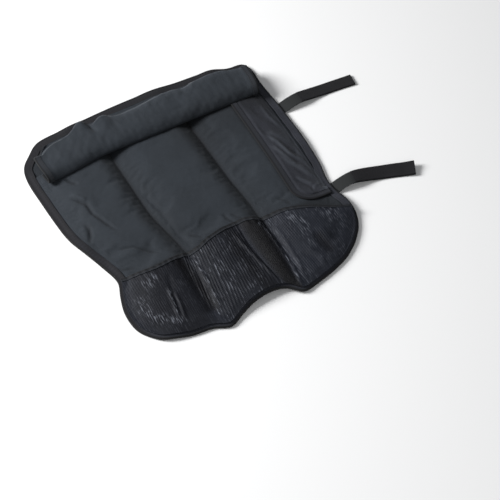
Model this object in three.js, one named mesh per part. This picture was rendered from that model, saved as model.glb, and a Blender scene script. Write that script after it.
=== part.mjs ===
import * as THREE from "three";
import { mergeVertices } from "three/addons/utils/BufferGeometryUtils.js";

// Chef knife roll, laid open with its inside up. Millimetres, +Z up.
// X runs across the knife channels towards the straps, Y along the knives towards the top flap.
// The origin is the middle of the underside, on the surface that the roll lies on.

// Driving dimensions
const bodyWidth = 454; // along X, without the straps
const bodyDepth = 502; // along Y
const clearance = 0.3; // between two layers that touch
const coverWall = 1.2;
const liningWall = 1;
const edgeLift = 9; // of the sheet's highest wave off the surface
const bindingWidth = 12; // how far the edge tape reaches in over the layers
const bindingWall = 1.1;
const bindingRise = 0.1; // of the edge tape above the surface that the roll lies on
const panelWall = 3; // padded
const panelSeamWall = 1.5; // the padding squeezed by a seam
const panelInset = 2.3; // from the edge tape to the padded panel
const liftSlack = 0.17; // share of the sheet's lift by which the panel stays clear of it
const channelHollow = 8.5; // free height in the middle of a knife channel
const channelEndHollow = 4.8; // the same under the mesh pockets
const mouthHollow = 6; // the same at the channel's open end
const creaseDepth = 1.8; // of the deepest crease in the padded panel
const creaseWidth = 12;
const meshWall = 1;
const meshDepth = 157; // from the lower edge to the pockets' open edge at its left end
const meshBulge = 10.5; // free height of the fullest pocket
const pleatHeight = 1.7; // of its gathers
const hemWidth = 7;
const hemWall = 0.8;
const flapWall = 1.6;
const flapHeight = 27; // of the rolled top flap above the lining
const flapDepth = 100; // from the upper edge to the rolled flap's front
const flapMouthOverlap = 17; // how far the flap's front reaches over the padded panel
const flapLeftDroop = 12; // how much further forward the flap's left end reaches
const flapDroopShare = 0.3; // of the flap's length over which it does
const flapBandWidth = 11;
const flapBandWall = 0.8;
const sideFlapWidth = 60;
const sideFlapWall = 1.1;
const sideFlapCorner = 34; // radius of its free corner
const sideFlapBelowHem = 3; // its lower edge below the left end of the pockets' open edge
const sideFoldHeight = 2; // of its highest soft fold
const sideBandWidth = 9;
const sideBandWall = 0.8;
const strapWidth = 24;
const strapLength = 142;
const strapWall = 1.5;
const strapArch = 9; // height of the higher strap's arch off the surface
const hookWall = 1.3;
const hookStart = 36; // from the strap's root to its hook tape
const hookInset = 0.5; // of the hook tape from the strap's sides

// The four sides of the outline. "at" runs along the side from corner to corner,
// "inset" is how far the side lies inside the nominal rectangle, both as shares.
const leftSide = [
  { at: 0, inset: 0.084 },
  { at: 0.04, inset: 0.058 },
  { at: 0.09, inset: 0.048 },
  { at: 0.15, inset: 0.05 },
  { at: 0.215, inset: 0.067 },
  { at: 0.28, inset: 0.087 },
  { at: 0.376, inset: 0.063 },
  { at: 0.445, inset: 0.038 },
  { at: 0.52, inset: 0.014 },
  { at: 0.6, inset: 0.004 },
  { at: 0.75, inset: -0.005 },
  { at: 0.88, inset: -0.008 },
  { at: 0.95, inset: 0.009 },
  { at: 1, inset: 0.056 },
];
const rightSide = [
  { at: 0, inset: 0.068 },
  { at: 0.027, inset: 0.046 },
  { at: 0.058, inset: 0.025 },
  { at: 0.107, inset: 0.008 },
  { at: 0.15, inset: 0.004 },
  { at: 0.2, inset: 0.01 },
  { at: 0.25, inset: 0.022 },
  { at: 0.32, inset: 0.022 },
  { at: 0.4, inset: 0.009 },
  { at: 0.55, inset: 0.004 },
  { at: 0.72, inset: 0.006 },
  { at: 0.88, inset: 0.016 },
  { at: 0.96, inset: 0.014 },
  { at: 1, inset: 0.026 },
];
const bottomSide = [
  { at: 0, inset: 0.074 },
  { at: 0.035, inset: 0.048 },
  { at: 0.096, inset: 0.03 },
  { at: 0.17, inset: 0.017 },
  { at: 0.25, inset: 0.012 },
  { at: 0.32, inset: -0.01 },
  { at: 0.38, inset: 0.011 },
  { at: 0.45, inset: 0.033 },
  { at: 0.55, inset: 0.044 },
  { at: 0.62, inset: 0.031 },
  { at: 0.67, inset: 0.001 },
  { at: 0.74, inset: 0.01 },
  { at: 0.83, inset: 0.029 },
  { at: 0.915, inset: 0.055 },
  { at: 0.965, inset: 0.081 },
  { at: 1, inset: 0.104 },
];
const topSide = [
  { at: 0, inset: 0.058 },
  { at: 0.02, inset: 0.04 },
  { at: 0.06, inset: 0.024 },
  { at: 0.16, inset: 0.016 },
  { at: 0.36, inset: 0.003 },
  { at: 0.55, inset: -0.001 },
  { at: 0.7, inset: 0.005 },
  { at: 0.86, inset: 0.013 },
  { at: 0.93, inset: 0.032 },
  { at: 0.98, inset: 0.034 },
  { at: 1, inset: 0.04 },
];

// Where the edge lifts off the surface. "at" places the peak along the edge and "half" is half
// the wave's length, as shares of the body. "height" is a share of the edge's lift, and "reach"
// inwards one of the body's depth.
const lifts = [
  { side: "bottom", at: 0.535, half: 0.17, height: 0.9, reach: 0.22 },
  { side: "bottom", at: 0.14, half: 0.08, height: 0.34, reach: 0.1 },
  { side: "left", at: 0.43, half: 0.17, height: 1, reach: 0.08 },
  { side: "left", at: 0.15, half: 0.08, height: 0.28, reach: 0.06 },
  { side: "right", at: 0.26, half: 0.1, height: 0.53, reach: 0.08 },
  { side: "right", at: 0.56, half: 0.12, height: 0.28, reach: 0.06 },
  { side: "top", at: 0.24, half: 0.07, height: 0.39, reach: 0.05 },
  { side: "top", at: 0.6, half: 0.09, height: 0.28, reach: 0.05 },
  { side: "top", at: 0.84, half: 0.06, height: 0.39, reach: 0.05 },
];

// The seams between the knife channels, as shares of the panel's width at its two ends.
const channelSeams = [
  { bottom: 0, top: 0 },
  { bottom: 0.305, top: 0.313 },
  { bottom: 0.672, top: 0.662 },
  { bottom: 1, top: 1 },
];

// Creases pressed into the padded panel, from one end to the other in shares of the body, with
// shares of the named crease's depth and width.
const panelCreases = [
  { x0: 0.33, y0: 0.667, x1: 0.38, y1: 0.34, depth: 1, width: 1 },
  { x0: 0.088, y0: 0.693, x1: 0.13, y1: 0.637, depth: 0.7, width: 1 },
  { x0: 0.13, y0: 0.637, x1: 0.165, y1: 0.51, depth: 0.7, width: 1 },
  { x0: 0.085, y0: 0.57, x1: 0.064, y1: 0.49, depth: 0.6, width: 0.9 },
  { x0: 0.137, y0: 0.428, x1: 0.289, y1: 0.333, depth: 0.3, width: 0.9 },
];

// The mesh pockets, left to right. "bottom" and "top" are where each one ends on the right, as
// shares of the mesh's width. "bulge" and "ridge" are shares of the fullest pocket's free height
// and of its gathers' height, and "pleats" is how many gathers it has.
const meshPockets = [
  { bottom: 0.3, top: 0.27, bulge: 0.9, ridge: 0.8, pleats: 5 },
  { bottom: 0.61, top: 0.53, bulge: 1, ridge: 1, pleats: 6 },
  { bottom: 0.68, top: 0.655, bulge: 0.72, ridge: 0.5, pleats: 2 },
  { bottom: 1, top: 1, bulge: 0.86, ridge: 0.75, pleats: 5 },
];

// The pockets' open edge: how far it lies above its left end, as shares of the body's depth.
const hemLine = [
  { at: 0, up: 0 },
  { at: 0.14, up: -0.018 },
  { at: 0.26, up: -0.006 },
  { at: 0.34, up: -0.008 },
  { at: 0.4, up: 0.006 },
  { at: 0.53, up: 0.026 },
  { at: 0.65, up: 0.01 },
  { at: 0.75, up: -0.004 },
  { at: 0.85, up: -0.034 },
  { at: 1, up: -0.088 },
];

// The rolled top flap's section, from its seam at the back, over the top, round the front and
// back under itself: "forward" in shares of the depth, "height" of the flap's height.
const flapSection = [
  { forward: 0, height: 0.02 },
  { forward: 0.1, height: 0.06 },
  { forward: 0.22, height: 0.34 },
  { forward: 0.33, height: 0.76 },
  { forward: 0.42, height: 0.98 },
  { forward: 0.55, height: 1 },
  { forward: 0.72, height: 0.98 },
  { forward: 0.86, height: 0.88 },
  { forward: 0.96, height: 0.7 },
  { forward: 1, height: 0.53 },
  { forward: 0.965, height: 0.41 },
  { forward: 0.86, height: 0.4 },
  { forward: 0.74, height: 0.46 },
];

// How the flap's crease wanders along X: back in shares of its depth, up of its height.
const flapCrease = [
  { at: 0, back: 0, up: -0.1 },
  { at: 0.1, back: 0.05, up: -0.03 },
  { at: 0.17, back: 0.08, up: 0 },
  { at: 0.235, back: 0.22, up: 0.08 },
  { at: 0.29, back: 0.12, up: 0.06 },
  { at: 0.35, back: 0.16, up: 0.04 },
  { at: 0.43, back: 0.05, up: -0.03 },
  { at: 0.52, back: 0.05, up: 0.01 },
  { at: 0.64, back: 0.11, up: 0.04 },
  { at: 0.73, back: 0.08, up: 0.04 },
  { at: 0.84, back: 0.16, up: 0.04 },
  { at: 1, back: 0.1, up: -0.12 },
];

// The flap's two ends, as shares of the body's width at a share of its depth forward.
const flapEnds = [
  { at: 0, left: 0.098, right: 0.925 },
  { at: 0.15, left: 0.062, right: 0.945 },
  { at: 0.33, left: 0.045, right: 0.953 },
  { at: 0.65, left: 0.042, right: 0.953 },
  { at: 1, left: 0.052, right: 0.944 },
];

// Soft folds across the side flap, at shares of its length, as shares of the highest one.
const sideFolds = [
  { at: 0.08, height: 0.4 },
  { at: 0.22, height: 0.8 },
  { at: 0.38, height: 1 },
  { at: 0.52, height: 0.7 },
  { at: 0.66, height: 0.9 },
  { at: 0.8, height: 0.55 },
];
const sideFoldHalf = 0.07; // half of a fold's width, as a share of the flap's length

// The two straps: "root" places each along the right side. "drift" and "bend" carry it sideways,
// as shares of its length, and "arch" and "tip" lift it, as shares of the higher strap's arch.
const straps = [
  { name: "upper", root: 0.723, drift: 0, bend: 0.03, arch: 0.8, tip: 0.07 },
  { name: "lower", root: 0.328, drift: -0.195, bend: 0.034, arch: 1, tip: 0.28 },
];

// How high a strap's arch stands along its length, in shares of that arch.
const archAlong = [
  { at: 0.12, height: 0.75 },
  { at: 0.24, height: 1 },
  { at: 0.42, height: 0.45 },
  { at: 0.6, height: 0.06 },
  { at: 0.85, height: 0 },
];

const mix = THREE.MathUtils.lerp;
const up = new THREE.Vector3(0, 0, 1);
const still = new THREE.Vector3();
const xOf = (share) => (share - 0.5) * bodyWidth;
const yOf = (share) => (share - 0.5) * bodyDepth;

// A smooth curve through one column of a table, over the table's "at" column.
function through(rows, column) {
  const slope = (k) => {
    const before = rows[Math.max(k - 1, 0)];
    const after = rows[Math.min(k + 1, rows.length - 1)];
    return (after[column] - before[column]) / (after.at - before.at);
  };
  return (at) => {
    let k = 0;
    while (k < rows.length - 2 && rows[k + 1].at < at) k++;
    const span = rows[k + 1].at - rows[k].at;
    const t = THREE.MathUtils.clamp((at - rows[k].at) / span, 0, 1);
    const start = (1 + 2 * t) * (1 - t) ** 2 * rows[k][column] + t * (1 - t) ** 2 * slope(k) * span;
    const end = t * t * (3 - 2 * t) * rows[k + 1][column] + t * t * (t - 1) * slope(k + 1) * span;
    return start + end;
  };
}

// 1 at the middle of a bump and 0 from its ends outwards.
function bump(distance, half) {
  const t = Math.min(Math.abs(distance) / half, 1);
  return (1 - t * t) ** 2;
}

// Shares from 0 to 1 in a number of steps, finer near both ends.
function sharesOf(steps, crowding) {
  return Array.from({ length: steps + 1 }, (_, k) => {
    const even = k / steps;
    return mix(even, 0.5 - 0.5 * Math.cos(Math.PI * even), crowding);
  });
}

// A point of the patch between four boundary curves, at shares s across and t along.
function betweenCurves(sides, s, t) {
  const { left, right, bottom, top } = sides;
  const ruled = (a, b, share) => a.clone().lerp(b, share);
  const across = ruled(left(t), right(t), s);
  const along = ruled(bottom(s), top(s), t);
  const corners = ruled(ruled(left(0), right(0), s), ruled(left(1), right(1), s), t);
  return across.add(along).sub(corners);
}

// A closed solid between two surfaces given as rows of points. "closed" joins the last row to
// the first, and "turned" tells which cells are cut along their other diagonal.
function solidBetween(outside, inside, { closed = false, turned = () => false } = {}) {
  const rows = outside.length;
  const columns = outside[0].length;
  const positions = [];
  const triangle = (a, b, c) => {
    const slim = 1e-6;
    if (a.distanceTo(b) < slim || b.distanceTo(c) < slim || c.distanceTo(a) < slim) return;
    positions.push(...a.toArray(), ...b.toArray(), ...c.toArray());
  };
  const quad = (a, b, c, d, other) => {
    if (other) {
      triangle(a, b, d);
      triangle(b, c, d);
    } else {
      triangle(a, b, c);
      triangle(a, c, d);
    }
  };
  for (let i = 0; i < (closed ? rows : rows - 1); i++) {
    const next = (i + 1) % rows;
    for (let j = 0; j < columns - 1; j++) {
      const o = outside;
      const n = inside;
      quad(o[i][j], o[next][j], o[next][j + 1], o[i][j + 1], turned(i, j));
      quad(n[i][j], n[i][j + 1], n[next][j + 1], n[next][j], turned(i, j));
    }
    const last = columns - 1;
    quad(outside[i][0], inside[i][0], inside[next][0], outside[next][0]);
    quad(outside[next][last], inside[next][last], inside[i][last], outside[i][last]);
  }
  if (!closed) {
    for (let j = 0; j < columns - 1; j++) {
      const last = rows - 1;
      quad(outside[0][j + 1], inside[0][j + 1], inside[0][j], outside[0][j]);
      quad(outside[last][j], inside[last][j], inside[last][j + 1], outside[last][j + 1]);
    }
  }
  return facingOut(positions);
}

// The triangles as one merged geometry, turned round if they enclose a negative volume.
function facingOut(positions) {
  const [a, b, c] = [new THREE.Vector3(), new THREE.Vector3(), new THREE.Vector3()];
  let volume = 0;
  for (let k = 0; k < positions.length; k += 9) {
    a.fromArray(positions, k);
    b.fromArray(positions, k + 3);
    c.fromArray(positions, k + 6);
    volume += a.dot(b.clone().cross(c));
  }
  if (volume < 0) {
    for (let k = 0; k < positions.length; k += 9) {
      const first = positions.slice(k, k + 3);
      positions.splice(k, 3, ...positions.slice(k + 3, k + 6));
      positions.splice(k + 3, 3, ...first);
    }
  }
  const geometry = new THREE.BufferGeometry();
  geometry.setAttribute("position", new THREE.Float32BufferAttribute(positions, 3));
  return mergeVertices(geometry, 1e-4);
}

// A sheet of cloth over a grid of places: low and high give its two faces at each grid point.
class Layer {
  constructor(places, low, high, turned = () => false) {
    this.places = places;
    this.low = places.map((row, i) => row.map((p, j) => low(p.x, p.y, i, j)));
    this.high = places.map((row, i) => row.map((p, j) => high(this.low[i][j], i, j)));
    this.turned = turned;
  }

  point(i, j, face) {
    const p = this.places[i][j];
    return new THREE.Vector3(p.x, p.y, this[face][i][j]);
  }

  surface(face) {
    return this.places.map((row, i) => row.map((_, j) => this.point(i, j, face)));
  }

  solid() {
    return solidBetween(this.surface("high"), this.surface("low"), { turned: this.turned });
  }

  // Height of the upper face at a place. Just past the rim, the nearest facet is carried on.
  topAt(x, y) {
    const { places: p, high: z } = this;
    let best = { inside: -Infinity };
    for (let i = 0; i < p.length - 1; i++) {
      for (let j = 0; j < p[i].length - 1; j++) {
        const cell = [[i, j], [i + 1, j], [i + 1, j + 1], [i, j + 1]];
        const cuts = this.turned(i, j) ? [[0, 1, 3], [1, 2, 3]] : [[0, 1, 2], [0, 2, 3]];
        for (const cut of cuts) {
          const [a, b, c] = cut.map((k) => cell[k]);
          const [pa, pb, pc] = [a, b, c].map(([m, n]) => p[m][n]);
          const area = (pb.x - pa.x) * (pc.y - pa.y) - (pc.x - pa.x) * (pb.y - pa.y);
          const wb = ((x - pa.x) * (pc.y - pa.y) - (pc.x - pa.x) * (y - pa.y)) / area;
          const wc = ((pb.x - pa.x) * (y - pa.y) - (x - pa.x) * (pb.y - pa.y)) / area;
          const inside = Math.min(wb, wc, 1 - wb - wc);
          if (inside > best.inside) {
            const [za, zb, zc] = [a, b, c].map(([m, n]) => z[m][n]);
            best = { inside, height: za + wb * (zb - za) + wc * (zc - za) };
          }
        }
      }
    }
    return best.height;
  }
}

// A tape folded round an edge. Each stop has a point on the edge and one further in, with the
// cloth's two faces and its normal there, and the direction that leads out over the edge.
// "fromEdge" tells which cells of the cloth are cut from their first edge point to the next
// point further in, so that the tape's facets follow the cloth's.
function foldedTape(stops, wall, { closed = false, fromEdge = () => true } = {}) {
  const off = ({ low, high, normal = up }, offset, out = still) => ({
    over: high.clone().addScaledVector(normal, offset).addScaledVector(out, offset),
    under: low.clone().addScaledVector(normal, -offset).addScaledVector(out, offset),
  });
  const face = (offset) =>
    stops.map(({ edge, inner, out }) => {
      const far = off(edge, offset, out);
      const near = off(inner, offset);
      return [near.over, far.over, far.under, near.under];
    });
  const turned = (k, leg) => (leg === 2) !== fromEdge(k);
  return solidBetween(face(clearance + wall), face(clearance), { closed, turned });
}

// The outline and the grid that the cover, the lining and the edge tape share
const columnShares = sharesOf(18, 0.7);
const rowShares = sharesOf(20, 0.7);

function outlineSides() {
  const [left, right, bottom, top] = [leftSide, rightSide, bottomSide, topSide].map((rows) =>
    through(rows, "inset"),
  );
  const corner = (acrossInset, alongInset, atRight, atTop) => ({
    x: xOf(atRight ? 1 - acrossInset : acrossInset),
    y: yOf(atTop ? 1 - alongInset : alongInset),
  });
  const bottomLeft = corner(left(0), bottom(0), false, false);
  const bottomRight = corner(right(0), bottom(1), true, false);
  const topLeft = corner(left(1), top(0), false, true);
  const topRight = corner(right(1), top(1), true, true);
  return {
    left: (t) => new THREE.Vector2(xOf(left(t)), mix(bottomLeft.y, topLeft.y, t)),
    right: (t) => new THREE.Vector2(xOf(1 - right(t)), mix(bottomRight.y, topRight.y, t)),
    bottom: (t) => new THREE.Vector2(mix(bottomLeft.x, bottomRight.x, t), yOf(bottom(t))),
    top: (t) => new THREE.Vector2(mix(topLeft.x, topRight.x, t), yOf(1 - top(t))),
  };
}

// The grid indices round the edge, anticlockwise from the bottom left corner.
function rimIndices(columns, rows) {
  const rim = [];
  for (let i = 0; i < columns; i++) rim.push({ i, j: 0, level: true });
  for (let j = 0; j < rows; j++) rim.push({ i: columns, j, level: false });
  for (let i = columns; i > 0; i--) rim.push({ i, j: rows, level: true });
  for (let j = rows; j > 0; j--) rim.push({ i: 0, j, level: false });
  return rim;
}

const sides = outlineSides();
const lastColumn = columnShares.length - 1;
const lastRow = rowShares.length - 1;
const rim = rimIndices(lastColumn, lastRow);

function edgePlace(i, j) {
  if (j === 0) return sides.bottom(columnShares[i]);
  if (j === lastRow) return sides.top(columnShares[i]);
  return i === 0 ? sides.left(rowShares[j]) : sides.right(rowShares[j]);
}

rim.forEach((stop) => {
  stop.place = edgePlace(stop.i, stop.j);
});
rim.forEach((stop, k) => {
  const before = rim[(k + rim.length - 1) % rim.length].place;
  const after = rim[(k + 1) % rim.length].place;
  const along = after.clone().sub(before).normalize();
  stop.out = new THREE.Vector2(along.y, -along.x);
  stop.ring = stop.place.clone().addScaledVector(stop.out, -bindingWidth);
  stop.ringIndex = {
    i: THREE.MathUtils.clamp(stop.i, 1, lastColumn - 1),
    j: THREE.MathUtils.clamp(stop.j, 1, lastRow - 1),
  };
});

// The ring that the edge tape reaches in to: one point for each rim point but those beside a corner.
function ringPlace(i, j) {
  const outward = (k, last) => (k === 1 ? 0 : k === last - 1 ? last : k);
  const atColumnEnd = i === 1 || i === lastColumn - 1;
  const atRowEnd = j === 1 || j === lastRow - 1;
  const rimI = atColumnEnd ? outward(i, lastColumn) : i;
  const rimJ = atRowEnd ? outward(j, lastRow) : j;
  return rim.find((stop) => stop.i === rimI && stop.j === rimJ).ring;
}

function sheetPlaces() {
  const ringShare = (shares, k) => (shares[k] - shares[1]) / (shares.at(-2) - shares[1]);
  const pick = (shares, share) => shares.findIndex((_, k) => ringShare(shares, k) >= share - 1e-9);
  const ringSides = {
    left: (t) => ringPlace(1, pick(rowShares, t)),
    right: (t) => ringPlace(lastColumn - 1, pick(rowShares, t)),
    bottom: (s) => ringPlace(pick(columnShares, s), 1),
    top: (s) => ringPlace(pick(columnShares, s), lastRow - 1),
  };
  return columnShares.map((_, i) =>
    rowShares.map((_, j) => {
      const onRim = i === 0 || j === 0 || i === lastColumn || j === lastRow;
      if (onRim) return edgePlace(i, j);
      return betweenCurves(ringSides, ringShare(columnShares, i), ringShare(rowShares, j));
    }),
  );
}

// How far the sheet is lifted off the surface at a place: by its waves, and by the edge tape
// under its rim.
function waveAt(x, y) {
  const distance = { left: x - xOf(0), right: xOf(1) - x, bottom: y - yOf(0), top: yOf(1) - y };
  return lifts.reduce((sum, lift) => {
    const upright = lift.side === "left" || lift.side === "right";
    const along = upright ? y - yOf(lift.at) : x - xOf(lift.at);
    const half = lift.half * (upright ? bodyDepth : bodyWidth);
    const inward = Math.max(distance[lift.side], 0);
    const fade = bump(along, half) * bump(inward, lift.reach * bodyDepth);
    return sum + edgeLift * lift.height * fade;
  }, 0);
}

function sheetLow(x, y, i, j) {
  const ringsIn = Math.min(i, j, lastColumn - i, lastRow - j);
  const tape = ringsIn < 2 ? bindingRise + bindingWall + clearance : 0;
  return waveAt(x, y) + tape;
}

const sheetGrid = sheetPlaces();
const fanCells = (i, j) =>
  (i === lastColumn - 1 && j === 0) || (i === 0 && j === lastRow - 1);
const cover = new Layer(sheetGrid, sheetLow, (low) => low + coverWall, fanCells);
const lining = new Layer(
  sheetGrid,
  (x, y, i, j) => cover.high[i][j] + clearance,
  (low) => low + liningWall,
  fanCells,
);

function edgeBinding() {
  const stops = rim.map(({ i, j, out, ringIndex }) => ({
    edge: { low: cover.point(i, j, "low"), high: lining.point(i, j, "high") },
    inner: {
      low: cover.point(ringIndex.i, ringIndex.j, "low"),
      high: lining.point(ringIndex.i, ringIndex.j, "high"),
    },
    out: new THREE.Vector3(out.x, out.y, 0),
  }));
  return foldedTape(stops, bindingWall, { closed: true, fromEdge: (k) => rim[k].level });
}

// The ring as four curves, moved in by a distance, for the pieces that lie inside the edge tape
function insideRing(inset) {
  const pull = (stops) =>
    stops.map((stop) => stop.ring.clone().addScaledVector(stop.out, -inset));
  const byY = (a, b) => a.y - b.y;
  const byX = (a, b) => a.x - b.x;
  const notBeside = ({ i, j }) => {
    const nearColumn = i === 1 || i === lastColumn - 1;
    const nearRow = j === 1 || j === lastRow - 1;
    return !nearColumn && !nearRow;
  };
  const kept = rim.filter(notBeside);
  return {
    left: pull(kept.filter(({ i }) => i === 0)).sort(byY),
    right: pull(kept.filter(({ i }) => i === lastColumn)).sort(byY),
    bottom: pull(kept.filter(({ j }) => j === 0)).sort(byX),
    top: pull(kept.filter(({ j }) => j === lastRow)).sort(byX),
  };
}

// The other coordinate of a chain of points where one coordinate has a given value.
function crossing(points, axis, value) {
  const other = axis === "x" ? "y" : "x";
  let k = 0;
  while (k < points.length - 2 && points[k + 1][axis] < value) k++;
  const t = (value - points[k][axis]) / (points[k + 1][axis] - points[k][axis]);
  return mix(points[k][other], points[k + 1][other], t);
}

// Boundary curves of a piece that fills the inside of the edge tape up to a line along X.
function lowerPatch(inset, topAt) {
  const ring = insideRing(inset);
  const climb = (chain, topY) => (t) => {
    const y = mix(chain[0].y, topY, t);
    return new THREE.Vector2(crossing(chain, "y", y), y);
  };
  const left = climb(ring.left, topAt(0));
  const right = climb(ring.right, topAt(1));
  return {
    left,
    right,
    bottom: (s) => {
      const x = mix(ring.bottom[0].x, ring.bottom.at(-1).x, s);
      return new THREE.Vector2(x, crossing(ring.bottom, "x", x));
    },
    top: (s) => new THREE.Vector2(mix(left(1).x, right(1).x, s), topAt(s)),
  };
}

// The padded panel: three channels side by side, sewn down between them and open under the flap
const flapFrontY = yOf(1) - flapDepth;
const panelTopY = flapFrontY + flapMouthOverlap;
const stepsPerChannel = 7;
const panelRows = 15;

// How a channel or a pocket bulges across its width, from seam to seam.
function archAcross(share) {
  return 1 - Math.abs(2 * share - 1) ** 2.8;
}

function creaseAt(x, y) {
  return panelCreases.reduce((deepest, crease) => {
    const start = new THREE.Vector3(xOf(crease.x0), yOf(crease.y0), 0);
    const end = new THREE.Vector3(xOf(crease.x1), yOf(crease.y1), 0);
    const place = new THREE.Vector3(x, y, 0);
    const nearest = new THREE.Line3(start, end).closestPointToPoint(place, true, new THREE.Vector3());
    const across = bump(nearest.distanceTo(place), crease.width * creaseWidth);
    return Math.max(deepest, creaseDepth * crease.depth * across);
  }, 0);
}

function panelLayer() {
  const patch = lowerPatch(panelInset, () => panelTopY);
  const channels = channelSeams.length - 1;
  const columns = channels * stepsPerChannel;
  const shares = Array.from({ length: columns + 1 }, (_, i) => {
    const channel = Math.min(Math.floor(i / stepsPerChannel), channels - 1);
    const even = (i - channel * stepsPerChannel) / stepsPerChannel;
    return { channel, within: 0.5 - 0.5 * Math.cos(Math.PI * even) };
  });
  const places = shares.map(({ channel, within }) =>
    Array.from({ length: panelRows + 1 }, (_, j) => {
      const t = j / panelRows;
      const seam = (k) => mix(channelSeams[k].bottom, channelSeams[k].top, t);
      return betweenCurves(patch, mix(seam(channel), seam(channel + 1), within), t);
    }),
  );
  const freeHeight = through(
    [
      { at: 0, free: 0 },
      { at: 0.12, free: channelEndHollow * 0.7 },
      { at: 0.3, free: channelEndHollow },
      { at: 0.4, free: channelEndHollow },
      { at: 0.56, free: channelHollow },
      { at: 0.85, free: channelHollow },
      { at: 1, free: mouthHollow },
    ],
    "free",
  );
  const bulge = (i) => archAcross(shares[i].within);
  const low = (x, y, i, j) => {
    const free = bulge(i) * (freeHeight(j / panelRows) - creaseAt(x, y));
    return lining.topAt(x, y) + clearance + liftSlack * waveAt(x, y) + free;
  };
  const high = (z, i) => z + mix(panelSeamWall, panelWall, bulge(i));
  return new Layer(places, low, high);
}

const panel = panelLayer();

// The mesh pockets: a gathered wall, sewn down at the sides, the bottom and between the pockets
const meshRows = 7;
const meshTopY = yOf(0) + meshDepth;
const hemShare = hemWidth / meshDepth;
const seamSlack = 2 * clearance; // under a seam that crosses the panel's curve

function hemY(share) {
  return meshTopY + through(hemLine, "up")(share) * bodyDepth;
}

function meshLayer() {
  const patch = lowerPatch(panelInset, hemY);
  const columns = meshPockets.flatMap((pocket, k) =>
    Array.from({ length: 2 * pocket.pleats }, (_, step) => ({
      pocket,
      before: meshPockets[k - 1] ?? { bottom: 0, top: 0 },
      within: step / (2 * pocket.pleats),
    })),
  );
  const lastPocket = meshPockets.at(-1);
  columns.push({ pocket: lastPocket, before: lastPocket, within: 1 });
  const rowShare = (j) => (j < meshRows ? (j / (meshRows - 1)) * (1 - hemShare) : 1);
  const places = columns.map(({ pocket, before, within }) =>
    Array.from({ length: meshRows + 1 }, (_, j) => {
      const t = rowShare(j);
      const start = mix(before.bottom, before.top, t);
      const end = mix(pocket.bottom, pocket.top, t);
      return betweenCurves(patch, mix(start, end, within), t);
    }),
  );
  const low = (x, y, i, j) => {
    const { pocket, within } = columns[i];
    const opening = 1 - (1 - rowShare(j)) ** 3;
    const ridge = i % 2 === 1 ? pleatHeight * pocket.ridge : 0;
    const across = within === 1 ? 0 : archAcross(within);
    const stand = opening * (meshBulge * pocket.bulge * across + ridge);
    const underHem = j < meshRows - 1 ? 0 : hemWall + clearance;
    return panel.topAt(x, y) + seamSlack + stand + underHem;
  };
  return new Layer(places, low, (z) => z + meshWall);
}

const mesh = meshLayer();

function meshHem() {
  const stops = mesh.places.map((row, i) => {
    const pair = (j) => ({ low: mesh.point(i, j, "low"), high: mesh.point(i, j, "high") });
    return { edge: pair(meshRows), inner: pair(meshRows - 1), out: new THREE.Vector3(0, 1, 0) };
  });
  return foldedTape(stops, hemWall, { fromEdge: () => false });
}

// The top flap, sewn along the back and curled down over the channels' mouths
const flapSteps = 20;
const flapBandShare = flapBandWidth / bodyWidth;

function flapShares() {
  const between = Array.from({ length: flapSteps + 1 }, (_, i) =>
    mix(flapBandShare, 1 - flapBandShare, i / flapSteps),
  );
  return [0, ...between, 1];
}

function flapPlace(share, { forward: nominal, height }) {
  const x = mix(xOf(through(flapEnds, "left")(nominal)), xOf(through(flapEnds, "right")(nominal)), share);
  const seamY = crossing(insideRing(panelInset).top, "x", x) - flapWall;
  const wander = bump(nominal - 0.4, 0.5);
  const forward = nominal - through(flapCrease, "back")(share) * wander;
  const frontY = flapFrontY - flapLeftDroop * bump(share, flapDroopShare);
  const y = mix(seamY, frontY, forward);
  const rise = height + through(flapCrease, "up")(share) * wander;
  const banded = share <= flapBandShare || share >= 1 - flapBandShare;
  const underBand = banded ? flapBandWall + clearance : 0;
  const seat = lining.topAt(x, y) + clearance + underBand + flapWall / 2;
  const z = seat + rise * flapHeight;
  return new THREE.Vector3(x, y, z);
}

// Each point of the curled flap: its two faces and its normal.
const flapPoints = flapShares().map((share) => {
  const section = flapSection.map((row) => flapPlace(share, row));
  return section.map((place, k) => {
    const before = section[Math.max(k - 1, 0)];
    const after = section[Math.min(k + 1, section.length - 1)];
    const along = after.clone().sub(before).setX(0).normalize();
    const normal = new THREE.Vector3(0, along.z, -along.y);
    return {
      normal,
      high: place.clone().addScaledVector(normal, flapWall / 2),
      low: place.clone().addScaledVector(normal, -flapWall / 2),
    };
  });
});

function topFlap() {
  const face = (side) => flapPoints.map((section) => section.map((point) => point[side]));
  return solidBetween(face("high"), face("low"));
}

// The tape folded round one end of the flap, following its curl.
function flapBand(atLeft) {
  const [end, inward] = atLeft ? [0, 1] : [-1, -2];
  const out = new THREE.Vector3(atLeft ? -1 : 1, 0, 0);
  const stops = flapSection.map((_, k) => ({
    edge: flapPoints.at(end)[k],
    inner: flapPoints.at(inward)[k],
    out,
  }));
  return foldedTape(stops, flapBandWall, { fromEdge: () => atLeft });
}

// The side flap, sewn along the right side and lying over the third channel
const sideFlapTopY = flapFrontY - 2;
const sideFlapBottomY = meshTopY - sideFlapBelowHem;
const sideSeamX = crossing(insideRing(panelInset).right, "y", 0) - 3;
const sideSlack = 1.1; // of the side flap over the panel's curve
const straightRows = 13;
const roundRows = 5;

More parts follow.
